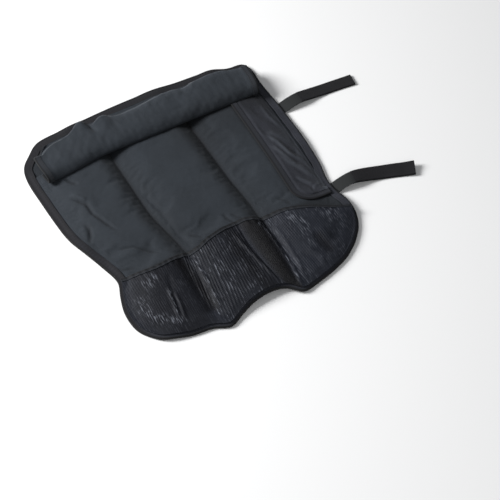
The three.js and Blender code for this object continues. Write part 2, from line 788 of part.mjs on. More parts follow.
// The flap's rows, from its top end down its free edge, round the corner and back to its seam.
function sideFlapRows() {
  const left = sideSeamX - sideFlapWidth;
  const centre = new THREE.Vector2(left + sideFlapCorner, sideFlapBottomY + sideFlapCorner);
  const lowestSeamY = sideFlapBottomY + 2 * sideBandWidth;
  const cornerSeamY = lowestSeamY + sideBandWidth / 2;
  const straight = Array.from({ length: straightRows }, (_, k) => {
    const y = mix(sideFlapTopY, centre.y, k / straightRows);
    return {
      edge: new THREE.Vector2(left, y),
      out: new THREE.Vector2(-1, 0),
      seam: new THREE.Vector2(sideSeamX, y),
    };
  });
  const round = Array.from({ length: roundRows + 1 }, (_, k) => {
    const turn = (k / roundRows) * (Math.PI / 2);
    const out = new THREE.Vector2(-Math.cos(turn), -Math.sin(turn));
    return {
      edge: centre.clone().addScaledVector(out, sideFlapCorner),
      out,
      seam: new THREE.Vector2(sideSeamX, mix(centre.y, cornerSeamY, k / roundRows)),
    };
  });
  const level = [0.5, 1].map((share) => ({
    edge: new THREE.Vector2(mix(centre.x, sideSeamX, share), sideFlapBottomY),
    out: new THREE.Vector2(0, -1),
    seam: new THREE.Vector2(sideSeamX, mix(cornerSeamY, lowestSeamY, share)),
  }));
  return [...straight, ...round, ...level];
}

function sideFlapLayer() {
  const rows = sideFlapRows();
  const places = rows.map(({ edge, out, seam }) => {
    const inner = edge.clone().addScaledVector(out, -sideBandWidth);
    return [edge, ...[0, 1 / 3, 2 / 3, 1].map((share) => inner.clone().lerp(seam, share))];
  });
  const foldAt = (y) => {
    const share = (sideFlapTopY - y) / (sideFlapTopY - sideFlapBottomY);
    return sideFolds.reduce(
      (sum, fold) => sum + sideFoldHeight * fold.height * bump(share - fold.at, sideFoldHalf),
      0,
    );
  };
  const low = (x, y, i, j) => {
    const fold = j > 1 && j < 4 ? foldAt(y) : 0;
    return panel.topAt(x, y) + sideSlack + sideBandWall + clearance + fold;
  };
  return { rows, layer: new Layer(places, low, (z) => z + sideFlapWall) };
}

const sideFlap = sideFlapLayer();

function sideFlapBinding() {
  const stops = sideFlap.rows.map(({ out }, i) => {
    const pair = (j) => ({
      low: sideFlap.layer.point(i, j, "low"),
      high: sideFlap.layer.point(i, j, "high"),
    });
    return { edge: pair(0), inner: pair(1), out: new THREE.Vector3(out.x, out.y, 0) };
  });
  return foldedTape(stops, sideBandWall);
}

// The straps, sewn to the right side and lying out to the right, with hook tape on their outer part
const strapSteps = 12;

const outerRight = rim.filter(({ i }) => i === lastColumn).map(({ place }) => place);

function strapRootX(y) {
  return crossing(outerRight, "y", y) + bindingWall + 3 * clearance;
}

function strapPath(strap) {
  const rootY = yOf(strap.root);
  const rows = archAlong.map(({ at, height }) => ({ at, z: height * strap.arch * strapArch }));
  const heights = through(
    [{ at: 0, z: bindingRise + bindingWall }, ...rows, { at: 1, z: strap.tip * strapArch }],
    "z",
  );
  return (share) => {
    const sideways = strap.drift * share ** 1.5 + strap.bend * Math.sin(Math.PI * share);
    return new THREE.Vector3(
      strapRootX(rootY) + share * strapLength,
      rootY + sideways * strapLength,
      Math.max(heights(share), 0),
    );
  };
}

// A flat tape of a width and thickness over a stretch of a strap's path.
function tapeOn(strap, fromShare, width, below, wall) {
  const path = strapPath(strap);
  const steps = Math.round(strapSteps * (1 - fromShare));
  const face = (height) =>
    Array.from({ length: steps + 1 }, (_, k) => {
      const share = mix(fromShare, 1, k / steps);
      const middle = path(share);
      const turned = Math.min(share * 4, 1);
      const along = path(Math.min(share + 0.02, 1)).sub(path(Math.min(share + 0.02, 1) - 0.02));
      return [-0.5, 0.5].map((side) => {
        const y = middle.y + side * width;
        const slant = -(along.y / along.x) * side * width * turned;
        const root = (strapRootX(y) - strapRootX(yOf(strap.root))) * (1 - turned);
        return new THREE.Vector3(middle.x + slant + root, y, middle.z + height);
      });
    });
  return solidBetween(face(below + wall), face(below));
}

// Materials
const finish = (color, roughness) =>
  new THREE.MeshStandardMaterial({ color, roughness, metalness: 0 });
const leatherette = finish("#17181a", 0.35);
const nylon = finish("#3a3e44", 0.85);
const liningNylon = finish("#2c2f34", 0.9);
const binding = finish("#3a3836", 0.7);
const meshNet = finish("#30313a", 0.6);
const webbing = finish("#46483f", 0.8);
const hookTape = finish("#29282d", 0.95);

const knifeRoll = new THREE.Group();

function add(name, geometry, material) {
  const piece = new THREE.Mesh(geometry, material);
  piece.name = name;
  knifeRoll.add(piece);
}

add("outer_cover", cover.solid(), leatherette);
add("inner_lining", lining.solid(), liningNylon);
add("edge_binding", edgeBinding(), binding);
add("channel_panel", panel.solid(), nylon);
add("mesh_pockets", mesh.solid(), meshNet);
add("mesh_hem", meshHem(), binding);
add("top_flap", topFlap(), nylon);
add("top_flap_band_left", flapBand(true), binding);
add("top_flap_band_right", flapBand(false), binding);
add("side_flap", sideFlap.layer.solid(), nylon);
add("side_flap_binding", sideFlapBinding(), binding);
for (const strap of straps) {
  const hookFrom = hookStart / strapLength;
  const hookWidth = strapWidth - 2 * hookInset;
  add("strap_" + strap.name, tapeOn(strap, 0, strapWidth, 0, strapWall), webbing);
  add(
    "hook_tape_" + strap.name,
    tapeOn(strap, hookFrom, hookWidth, strapWall + clearance, hookWall),
    hookTape,
  );
}

export default knifeRoll;
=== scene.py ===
# %% [markdown]
# A chef's knife roll, laid open with its inside up. It is a flat bag of cloth: a leatherette cover, a
# lining sewn onto it, a padded panel with three knife channels, four net pockets, a flap rolled over
# the channels' mouths and two straps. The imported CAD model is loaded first, because every piece here
# takes the place of one of its solids.

# %% Load the frame
import math

import bpy
import numpy as np
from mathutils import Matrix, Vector


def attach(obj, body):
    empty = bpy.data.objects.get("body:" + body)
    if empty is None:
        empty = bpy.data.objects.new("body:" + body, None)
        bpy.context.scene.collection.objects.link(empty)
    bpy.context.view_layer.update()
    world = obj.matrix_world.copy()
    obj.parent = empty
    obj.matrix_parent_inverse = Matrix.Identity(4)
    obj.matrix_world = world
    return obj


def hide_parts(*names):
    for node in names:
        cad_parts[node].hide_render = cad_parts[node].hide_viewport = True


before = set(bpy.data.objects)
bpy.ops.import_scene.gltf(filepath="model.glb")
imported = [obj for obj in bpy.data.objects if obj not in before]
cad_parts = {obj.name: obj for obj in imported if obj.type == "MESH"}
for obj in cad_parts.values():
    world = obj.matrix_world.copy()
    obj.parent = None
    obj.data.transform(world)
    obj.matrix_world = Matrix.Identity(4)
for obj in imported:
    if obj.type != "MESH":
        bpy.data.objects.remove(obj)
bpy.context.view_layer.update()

# %% [markdown]
# Cloth has no straight lines, so the shapes are drawn as curves through a few given places. `through`
# makes such a curve. `bump` is a soft hill, and `ripple` adds together slow waves that run in many
# directions, for the unevenness that all sewn cloth has. Lengths are in millimetres until a piece is
# made.

# %% Curves, hills and ripples
def mix(a, b, share):
    return a + (b - a) * share


def through(places, values):
    """A smooth curve through values at places."""
    at, value = np.array(places, float), np.array(values, float)
    slope = np.zeros_like(value)
    slope[1:-1] = (value[2:] - value[:-2]) / (at[2:] - at[:-2])
    slope[0] = (value[1] - value[0]) / (at[1] - at[0])
    slope[-1] = (value[-1] - value[-2]) / (at[-1] - at[-2])

    def curve(x):
        x = np.clip(x, at[0], at[-1])
        k = np.clip(np.searchsorted(at, x, side="right") - 1, 0, len(at) - 2)
        span = at[k + 1] - at[k]
        t = (x - at[k]) / span
        start = (1 + 2 * t) * (1 - t) ** 2 * value[k] + t * (1 - t) ** 2 * slope[k] * span
        end = t * t * (3 - 2 * t) * value[k + 1] + t * t * (t - 1) * slope[k + 1] * span
        return start + end

    return curve


def bump(distance, half):
    """1 in the middle of a hill and 0 from its foot outwards."""
    t = np.minimum(np.abs(distance) / half, 1)
    return (1 - t * t) ** 2


def step(x, start, end):
    """0 before start, 1 after end and smooth between them."""
    t = np.clip((x - start) / (end - start), 0, 1)
    return t * t * (3 - 2 * t)


def ripple(x, y, length, seed, waves=10):
    """Waves of about one length in all directions, mostly between -1 and 1."""
    chance = np.random.default_rng(seed)
    total = np.zeros_like(x)
    for _ in range(waves):
        turn = chance.uniform(0, 2 * np.pi)
        pace = 2 * np.pi / (length * chance.uniform(0.7, 1.5))
        total += np.sin(pace * (x * np.cos(turn) + y * np.sin(turn)) + chance.uniform(0, 2 * np.pi))
    return total / math.sqrt(waves)


def fold_along(points, x, y, width, fade=0.25):
    """How near a place is to a fold drawn through points: 1 on it, 0 beside it and past its ends."""
    nearest = np.full_like(x, 1e9)
    strength = np.zeros_like(x)
    last = len(points) - 1
    for k in range(last):
        (ax, ay), (bx, by) = points[k], points[k + 1]
        dx, dy = bx - ax, by - ay
        t = np.clip(((x - ax) * dx + (y - ay) * dy) / (dx * dx + dy * dy), 0, 1)
        distance = np.hypot(x - ax - t * dx, y - ay - t * dy)
        along = (k + t) / last
        near = distance < nearest
        nearest = np.where(near, distance, nearest)
        ends = np.minimum(step(along, -0.02, fade), step(1 - along, -0.02, fade))
        strength = np.where(near, ends, strength)
    return strength * np.exp(-((nearest / width) ** 2))


beside_it = fold_along([(0, 0), (10, 0)], np.array([5.0]), np.array([2.0]), 3)
print("2 mm beside a fold that is 3 mm wide, it is", beside_it.round(2), "as strong")

# %% [markdown]
# The outline of the open roll is a rectangle with its corners rounded and its sides pulled in where
# the cloth has been handled. It is drawn as four sides, each with an inset from the nominal rectangle,
# and joined into one closed line, the rim. Averaging each point with its neighbours rounds the corners.

# %% The outline
body_width, body_depth = 454, 502


def x_of(share):
    return (share - 0.5) * body_width


def y_of(share):
    return (share - 0.5) * body_depth


left_inset = through(
    [0, 0.04, 0.09, 0.15, 0.215, 0.28, 0.376, 0.445, 0.52, 0.6, 0.75, 0.88, 0.95, 1],
    [0.084, 0.058, 0.048, 0.05, 0.067, 0.087, 0.063, 0.038, 0.014, 0.004, -0.005, -0.008, 0.009, 0.056],
)
right_inset = through(
    [0, 0.027, 0.058, 0.107, 0.15, 0.2, 0.25, 0.32, 0.4, 0.55, 0.72, 0.88, 0.96, 1],
    [0.068, 0.046, 0.025, 0.008, 0.004, 0.01, 0.022, 0.022, 0.009, 0.004, 0.006, 0.016, 0.014, 0.026],
)
bottom_inset = through(
    [0, 0.035, 0.096, 0.17, 0.25, 0.32, 0.38, 0.45, 0.55, 0.62, 0.67, 0.74, 0.83, 0.915, 0.965, 1],
    [0.074, 0.048, 0.03, 0.017, 0.012, -0.01, 0.011, 0.033, 0.044, 0.034, 0.001, 0.01, 0.029, 0.055,
     0.081, 0.104],
)
top_inset = through(
    [0, 0.02, 0.06, 0.16, 0.36, 0.55, 0.7, 0.86, 0.93, 0.98, 1],
    [0.058, 0.04, 0.024, 0.016, 0.003, -0.001, 0.005, 0.013, 0.032, 0.034, 0.04],
)
side_points = 180
corner_rounds = 8


def draw_rim():
    t = np.linspace(0, 1, side_points, endpoint=False)
    low_left = x_of(left_inset(0)), y_of(bottom_inset(0))
    low_right = x_of(1 - right_inset(0)), y_of(bottom_inset(1))
    high_left = x_of(left_inset(1)), y_of(1 - top_inset(0))
    high_right = x_of(1 - right_inset(1)), y_of(1 - top_inset(1))
    bottom = mix(low_left[0], low_right[0], t), y_of(bottom_inset(t))
    right = x_of(1 - right_inset(t)), mix(low_right[1], high_right[1], t)
    top = mix(high_right[0], high_left[0], t), y_of(1 - top_inset(1 - t))
    left = x_of(left_inset(1 - t)), mix(high_left[1], low_left[1], t)
    rim = np.concatenate([np.column_stack(side) for side in (bottom, right, top, left)])
    for _ in range(corner_rounds):
        rim = (np.roll(rim, 1, axis=0) + 2 * rim + np.roll(rim, -1, axis=0)) / 4
    return rim


rim = draw_rim()
along_rim = np.roll(rim, -1, axis=0) - np.roll(rim, 1, axis=0)
along_rim /= np.linalg.norm(along_rim, axis=1, keepdims=True)
outward = np.column_stack([along_rim[:, 1], -along_rim[:, 0]])
rim_length = np.linalg.norm(np.roll(rim, -1, axis=0) - rim, axis=1).sum()
print("the rim is", round(rim_length), "mm long")

# %% [markdown]
# Most layers lie inside the rim by a known distance: the padded panel stops where the edge tape ends.
# `patch` stretches a grid between the four sides of such an inner line, up to a line across the roll,
# by the usual rule for a surface between four curves. `around` reads a place on the rim itself, and
# `from_rim` measures how far in a place lies.

# %% Places inside the outline
def ring_side(inset, side):
    """The points of one side of the rim, moved in, in the order of rising x or y."""
    ring = rim - inset * outward
    first = {"bottom": 0, "right": 1, "top": 2, "left": 3}[side] * side_points
    line = ring[np.arange(first, first + side_points + 1) % len(ring)]
    return line if side in ("bottom", "right") else line[::-1]


def around(table, at):
    """A table that has one row for each point of the rim, read at places between its rows."""
    index = np.arange(len(table) + 1)
    return [np.interp(at, index, np.append(table[:, axis], table[0, axis])) for axis in (0, 1)]


def side_x(inset, side, y):
    """Where a side of the inner line lies at the height y."""
    line = ring_side(inset, side)
    return np.interp(y, line[:, 1], line[:, 0])


def side_y(inset, side, x):
    line = ring_side(inset, side)
    return np.interp(x, line[:, 0], line[:, 1])


def patch(inset, top_line, s, t):
    """The place at shares s across and t up, between the inner line and a line across the top."""
    start, end = ring_side(inset, "bottom")[0], ring_side(inset, "bottom")[-1]
    left_y = mix(start[1], top_line(0), t)
    right_y = mix(end[1], top_line(1), t)
    left_x = side_x(inset, "left", left_y)
    right_x = side_x(inset, "right", right_y)
    top_left, top_right = side_x(inset, "left", top_line(0)), side_x(inset, "right", top_line(1))
    bottom_x = mix(start[0], end[0], s)
    bottom_y = side_y(inset, "bottom", bottom_x)
    top_x, top_y = mix(top_left, top_right, s), top_line(s)
    corner_x = mix(bottom_x, top_x, t)
    corner_y = mix(mix(start[1], end[1], s), mix(top_line(0), top_line(1), s), t)
    x = mix(left_x, right_x, s) + mix(bottom_x, top_x, t) - corner_x
    y = mix(left_y, right_y, s) + mix(bottom_y, top_y, t) - corner_y
    return x, y


def from_rim(x, y):
    """The distance of each place from the rim, taken in parts to keep the tables small."""
    near = np.full(x.shape, 1e9)
    for part in np.array_split(rim, 12):
        gap = np.hypot(x[:, None] - part[None, :, 0], y[:, None] - part[None, :, 1])
        near = np.minimum(near, gap.min(axis=1))
    return near


print("the middle lies", from_rim(np.zeros(1), np.zeros(1)).round(1), "mm inside the rim")

# %% [markdown]
# Nothing holds the roll down, so its edge stands off the table in a few places. The highest wave is in
# the middle of the lower edge. Each lift names its side, and then gives as shares its place along the
# side, half its length, its height and how far it reaches inwards. The two sheets that everything is
# sewn to follow these waves, and the edge tape's own thickness raises their rims a little.

# %% How the sheets lie
clearance = 0.3
cover_wall = 1.2
lining_wall = 1
binding_wall = 1.1
binding_width = 12
floor_gap = 0.1
raised_rim = (14, 34)
lift_height = 9
lifts = [
    ("bottom", 0.535, 0.17, 0.9, 0.22),
    ("bottom", 0.14, 0.08, 0.34, 0.1),
    ("left", 0.43, 0.17, 1, 0.08),
    ("left", 0.15, 0.08, 0.28, 0.06),
    ("right", 0.26, 0.1, 0.53, 0.08),
    ("right", 0.56, 0.12, 0.28, 0.06),
    ("top", 0.24, 0.07, 0.39, 0.05),
    ("top", 0.6, 0.09, 0.28, 0.05),
    ("top", 0.84, 0.06, 0.39, 0.05),
]


def wave(x, y):
    """How far the cloth is lifted off the table by the waves of its edge."""
    inside = {"left": x - x_of(0), "right": x_of(1) - x, "bottom": y - y_of(0), "top": y_of(1) - y}
    total = np.zeros_like(x)
    for side, at, half, height, reach in lifts:
        upright = side in ("left", "right")
        along = y - y_of(at) if upright else x - x_of(at)
        length = body_depth if upright else body_width
        inward = np.maximum(inside[side], 0)
        total += lift_height * height * bump(along, half * length) * bump(inward, reach * body_depth)
    return total


def cover_low(x, y):
    tape = floor_gap + binding_wall + clearance
    return wave(x, y) + tape * (1 - step(from_rim(x, y), *raised_rim))


def lining_top(x, y):
    return cover_low(x, y) + cover_wall + clearance + lining_wall


print("the highest wave lifts the lining to", lining_top(np.array([16.0]), np.array([-235.0])).round(1))

# %% [markdown]
# Each piece starts as a grid primitive. Its points are moved to the place that a function gives for
# their shares across and along, its UV map is stretched to real metres so that a weave keeps its size,
# and Solidify gives it the wall of the real cloth. A grid is easy to shape, and its rows follow the
# threads. The cells below only have to say where the cloth goes.

# %% From a grid to a piece of cloth
millimetre = 0.001


def points_of(piece):
    flat = np.empty(len(piece.data.vertices) * 3)
    piece.data.vertices.foreach_get("co", flat)
    return flat.reshape(-1, 3)


def move_points(piece, points):
    piece.data.vertices.foreach_set("co", np.asarray(points, float).ravel())
    piece.data.update()


def uv_of(piece):
    layer = piece.data.uv_layers.active.data
    uv = np.empty(len(layer) * 2)
    layer.foreach_get("uv", uv)
    return uv.reshape(-1, 2)


def cloth_grid(name, columns, rows, place, size):
    """A grid whose points go to place(s, t), in millimetres, with a UV map in metres."""
    bpy.ops.object.select_all(action="DESELECT")
    bpy.ops.mesh.primitive_grid_add(x_subdivisions=columns, y_subdivisions=rows, size=1)
    piece = bpy.context.object
    piece.name = name
    start = points_of(piece)
    spots = place(start[:, 0] + 0.5, start[:, 1] + 0.5)
    move_points(piece, np.column_stack(spots) * millimetre)
    threads = uv_of(piece) * np.array(size) * millimetre
    piece.data.uv_layers.active.data.foreach_set("uv", threads.ravel())
    return piece


def apply(piece, kind, **settings):
    """Adds a modifier with its settings and applies it."""
    bpy.context.view_layer.objects.active = piece
    made = piece.modifiers.new(kind.title(), kind)
    for key, value in settings.items():
        setattr(made, key, value)
    bpy.ops.object.modifier_apply(modifier=made.name)


def thicken(piece, wall, offset=-1):
    """Gives the cloth its wall. With offset -1 the shaped face stays where it is."""
    apply(piece, "SOLIDIFY", thickness=wall * millimetre, offset=offset)
    bpy.ops.object.select_all(action="DESELECT")
    piece.select_set(True)
    bpy.context.view_layer.objects.active = piece
    bpy.ops.object.shade_smooth_by_angle(angle=math.radians(55))
    piece.data.calc_loop_triangles()
    print(piece.name, len(piece.data.loop_triangles), "triangles")
    return piece


# %% [markdown]
# The cover is the outside of the rolled bag: one sheet of shiny leatherette, face down on the table.
# The lining is sewn onto it, and shows only as a strip behind the rolled flap and between the padding
# and the edge tape, where it is a little puckered by the stitches.

# %% The cover and the lining
def sheet_place(height, pucker):
    def place(s, t):
        bottom = around(rim, s * side_points)
        right = around(rim, side_points + t * side_points)
        top = around(rim, 2 * side_points + (1 - s) * side_points)
        left = around(rim, 3 * side_points + (1 - t) * side_points)
        corners = [rim[k * side_points] for k in range(4)]
        spots = []
        for axis in (0, 1):
            across = mix(left[axis], right[axis], s)
            along = mix(bottom[axis], top[axis], t)
            low = mix(corners[0][axis], corners[1][axis], s)
            high = mix(corners[3][axis], corners[2][axis], s)
            spots.append(across + along - mix(low, high, t))
        x, y = spots
        return x, y, height(x, y) + pucker * ripple(x, y, 26, 3) * step(from_rim(x, y), 12, 20)

    return place


cover = cloth_grid("cover_sheet", 116, 120, sheet_place(cover_low, 0), (body_width, body_depth))
thicken(cover, cover_wall, offset=1)
lining = cloth_grid("lining_sheet", 116, 120, sheet_place(lining_top, 0.12), (body_width, body_depth))
thicken(lining, lining_wall)

# %% [markdown]
# A woven tape is folded over the rim and sewn through all layers. Its section is a U: over the top,
# round a soft nose and back below. The U is drawn once, by `folded`, and swept along the rim. The same
# U is used for every bound edge. Real tape is pulled by its stitches, so its width and height vary.

# %% The edge tape
flat_share = 0.36
turn_share = 0.28


def folded(t, reach, half, nose):
    """Along a folded tape, from its first edge to its last: how far in it is, and which side."""
    before = 1 - np.clip(t / flat_share, 0, 1)
    after = np.clip((t - flat_share - turn_share) / flat_share, 0, 1)
    inward = reach * before + reach * after
    turn = np.clip((t - flat_share) / turn_share, 0, 1) * np.pi
    return inward - nose * np.sin(turn), half * np.cos(turn)


layers_half = (cover_wall + clearance + lining_wall) / 2
tape_reach = binding_width + 1.4
tape_flat_width = 2 * binding_width + 8
tape_tucks = 310
padding_below = 1.3
flap_start_y = y_of(1) - 60


def binding_place(s, t):
    spot, out = around(rim, s * len(rim)), around(outward, s * len(rim))
    tucks = np.sin(2 * np.pi * s * tape_tucks)
    pull = tucks * 0.1 + ripple(spot[0], spot[1], 34, 5) * 0.35
    half = layers_half + clearance + binding_wall
    inward, side = folded(t, tape_reach, half, clearance + binding_wall)
    inward = inward + pull * (inward > 0)
    x, y = spot[0] - inward * out[0], spot[1] - inward * out[1]
    rim_x, rim_y = spot[0] - 4 * out[0], spot[1] - 4 * out[1]
    middle = cover_low(rim_x, rim_y) + layers_half
    middle = mix(middle, cover_low(x, y) + layers_half, step(inward, 2, 9))
    puff = 1 + 0.07 * tucks * step(inward, 1, 4) * step(binding_width - inward, 0, 5)
    on_padding = step(inward, 3, binding_width) * (t > 0.5) * step(flap_start_y - y, 0, 20)
    return x, y, middle + floor_gap - side * puff + padding_below * on_padding


# The grid's two ends meet, and merging their points closes the ring. At the tightest corner the cloth
# bunches up, so the lowest points are lifted back to the table.
edge_tape = cloth_grid("edge_tape", 1240, 22, binding_place, (rim_length, tape_flat_width))
bpy.ops.object.mode_set(mode="EDIT")
bpy.ops.mesh.select_all(action="SELECT")
bpy.ops.mesh.remove_doubles(threshold=0.00002)
bpy.ops.object.mode_set(mode="OBJECT")
thicken(edge_tape, binding_wall)
tape_points = points_of(edge_tape)
tape_points[:, 2] = np.maximum(tape_points[:, 2], floor_gap * millimetre)
move_points(edge_tape, tape_points)

# %% [markdown]
# The padded panel makes the knife channels: it is sewn to the lining at its sides and along two seams,
# and stands up between them. A channel rises gently from the seam on its left and falls off to the one
# on its right, where the light from the left leaves a soft shadow. The third one lies under the side
# flap and falls off more slowly. `free_height` is the room for a knife, from the lower end up.

# %% The shape of the channels
panel_inset = binding_width + 2.3
flap_depth = 100
under_flap = 17
flap_front_y = y_of(1) - flap_depth
panel_top_y = flap_front_y + under_flap
rise_width = 56
short_fall, long_fall = 32, 60
seam_bottoms = [0, 0.29, 0.672, 1]
seam_tops = [0, 0.313, 0.662, 1]
free_height = through([0, 0.12, 0.3, 0.4, 0.56, 0.85, 1], [0.5, 4, 5.6, 6.2, 9.6, 9.4, 7.4])


def panel_line(s):
    return np.full_like(np.asarray(s, float), panel_top_y)


seam_lines = []
for low, high in zip(seam_bottoms, seam_tops):
    steps = np.linspace(0, 1, 40)
    seam_lines.append(patch(panel_inset, panel_line, mix(low, high, steps), steps))


def across_channel(x, y):
    """The distance to the seam on the left, the channel's width and how far it falls, at each place."""
    seams = [np.interp(y, line_y, line_x) for line_x, line_y in seam_lines]
    left, right = seams[0], seams[1]
    for k in (1, 2):
        left = np.where(x > seams[k], seams[k], left)
        right = np.where(x > seams[k], seams[k + 1], right)
    return x - left, right - left, np.where(x > seams[2], long_fall, short_fall)


def channel_arch(x, y):
    """How full a channel is across its width, from 0 at its seams to 1."""
    beside, width, fall = across_channel(x, y)
    left = np.clip(beside / rise_width, 0, 1)
    right = np.clip((width - beside) / fall, 0, 1)
    return (1 - (1 - left) ** 2.2) * (1 - (1 - right) ** np.where(fall == long_fall, 1.7, 2.3))


widths = across_channel(np.array([-120.0, 0, 120]), np.zeros(3))[1]
print("the channels are", widths.round(), "mm wide half way up")

# %% [markdown]
# Padded cloth that has been rolled up many times keeps a few folds. They are listed one by one: each is
# a line of places in millimetres, with a height, or a depth below 0, and half a width. The soft folds
# belong to the padding. The creases are thin lines in its cloth, and are pressed in at the end, when the
# cloth is fine enough to hold them. `panel_top` gives the height of the padding anywhere, so that the
# net, the side flap and the hem can lie on it without touching it.

# %% Folds, creases and the height of the padding
seam_height, padding_height = 1.5, 3
over_waves = 0.17
soft_folds = [
    ([(-78, 84), (-71, 42), (-64, 0), (-59, -50), (-53, -92)], -3.6, 5.5),
    ([(-76, -10), (-72, -50), (-67, -90)], 1.2, 6),
    ([(-181, 106), (-160, 80), (-154, 56)], 1.4, 8),
    ([(-203, 34), (-199, 14), (-207, -6)], 1.4, 7),
    ([(-176, 132), (-150, 122), (-120, 128)], -0.8, 8),
    ([(94, 40), (92, -10), (96, -60)], -0.8, 7),
    ([(-40, 140), (-12, 132), (20, 138)], -0.6, 9),
]
panel_creases = [
    ([(-187, 97), (-177, 82), (-168, 69), (-167, 46), (-154, 13), (-146, -8)], -3.2, 3),
    ([(-184, 104), (-172, 86), (-164, 74)], 1.8, 4),
    ([(-190, 36), (-185, 22), (-189, 7), (-198, -4)], -3.4, 3),
    ([(-196, 30), (-193, 16), (-199, 4)], 2.0, 3.4),
    ([(-178, 137), (-170, 124), (-162, 114)], -2.6, 3),
    ([(-165, -36), (-136, -47), (-96, -84)], -1.8, 2.6),
    ([(-190, -60), (-172, -76), (-150, -84)], -0.9, 2.6),
    ([(-46, -64), (-34, -74), (-24, -82)], -1.8, 2.6),
    ([(-62, -66), (-46, -80), (-30, -88)], 1.1, 3.2),
    ([(24, -52), (27, -66), (34, -80)], -1.6, 2.6),
    ([(36, -58), (42, -70), (50, -78)], -1.0, 2.6),
    ([(118, -62), (130, -78), (136, -90)], -1.0, 3),
]


def fold_sum(folds, x, y):
    return sum(height * fold_along(points, x, y, wide) for points, height, wide in folds)


def panel_top(x, y):
    arch = channel_arch(x, y)
    bottom = side_y(panel_inset, "bottom", x)
    up = np.clip((y - bottom) / (panel_top_y - bottom), 0, 1)
    base = lining_top(x, y) + clearance + over_waves * wave(x, y)
    room = free_height(up) + fold_sum(soft_folds, x, y)
    return base + arch * room + mix(seam_height, padding_height, arch)


middle_spot = np.array([0.0]), np.array([60.0])
print("the lining lies", lining_top(*middle_spot).round(1), "mm up in the middle")
print("the padding over it lies", panel_top(*middle_spot).round(1), "mm up")

# %% [markdown]
# The panel starts as a coarse grid with more rows beside the seams. A short cloth simulation swells it
# against its seams, which are pinned, because stitched padding puckers in a way that no formula gives.
# How far a point may move is capped, so the channel stays in its place, and after one subdivision the
# folds that the photograph shows are still where `panel_top` put them.

# %% The padded panel
channel_columns = 40
panel_rows = 100
panel_size = (431, 406)
panel_wall = 1.4


def panel_place(s, t):
    at = np.clip(s * 3, 0, 3 - 1e-9)
    channel = at.astype(int)
    within = 0.5 - 0.5 * np.cos(np.pi * (at - channel))
    within = mix(within, at - channel, 0.45)
    low, high = np.array(seam_bottoms), np.array(seam_tops)
    left = mix(low[channel], high[channel], t)
    right = mix(low[channel + 1], high[channel + 1], t)
    x, y = patch(panel_inset, panel_line, mix(left, right, within), t)
    return x, y, panel_top(x, y)


def press_creases(piece):
    """Presses the creases into the cloth, and leaves its seams flat."""
    points = points_of(piece)
    x, y = points[:, 0] / millimetre, points[:, 1] / millimetre
    arch = channel_arch(x, y)
    small = 0.07 * ripple(x, y, 13, 41) + 0.3 * ripple(x, y, 55, 42)
    points[:, 2] += arch * (fold_sum(panel_creases, x, y) + small) * millimetre
    move_points(piece, points)


def swell(piece, pressure, cap, frames=18):
    """Swells the cloth with its flat places pinned, and keeps each point within a distance."""
    before = points_of(piece)
    beside, width, _ = across_channel(before[:, 0] / millimetre, before[:, 1] / millimetre)
    seam = np.minimum(beside, width - beside)
    edge = from_rim(before[:, 0] / millimetre, before[:, 1] / millimetre) - panel_inset
    top = panel_top_y - before[:, 1] / millimetre
    hold = 1 - step(np.minimum(np.minimum(seam, edge), top * 0.7), 3, 10)
    group = piece.vertex_groups.new(name="held")
    for k, weight in enumerate(hold):
        group.add([k], float(weight), "REPLACE")
    made = piece.modifiers.new("Cloth", "CLOTH")
    cloth = made.settings
    cloth.quality = 4
    cloth.mass = 0.25
    cloth.tension_stiffness = cloth.compression_stiffness = 12
    cloth.shear_stiffness = 4
    cloth.bending_stiffness = 0.35
    cloth.shrink_min = -0.026
    cloth.use_pressure = True
    cloth.uniform_pressure_force = pressure
    cloth.vertex_group_mass = "held"
    cloth.effector_weights.gravity = 0
    made.collision_settings.use_collision = False
    made.point_cache.frame_start, made.point_cache.frame_end = 1, frames
    for number in range(1, frames + 1):
        bpy.context.scene.frame_set(number)
    bpy.context.view_layer.objects.active = piece
    bpy.ops.object.modifier_apply(modifier=made.name)
    bpy.context.scene.frame_set(1)
    moved = points_of(piece) - before
    length = np.linalg.norm(moved, axis=1, keepdims=True)
    print("the cloth moved by up to", (length.max() / millimetre).round(2), "mm")
    moved *= cap * millimetre * np.tanh(length / (cap * millimetre)) / np.maximum(length, 1e-9)
    move_points(piece, before + moved)


panel = cloth_grid("channel_quilt", 3 * channel_columns, panel_rows, panel_place, panel_size)
swell(panel, pressure=0.6, cap=1.3)
apply(panel, "SUBSURF", levels=1, render_levels=1)
press_creases(panel)
thicken(panel, panel_wall)
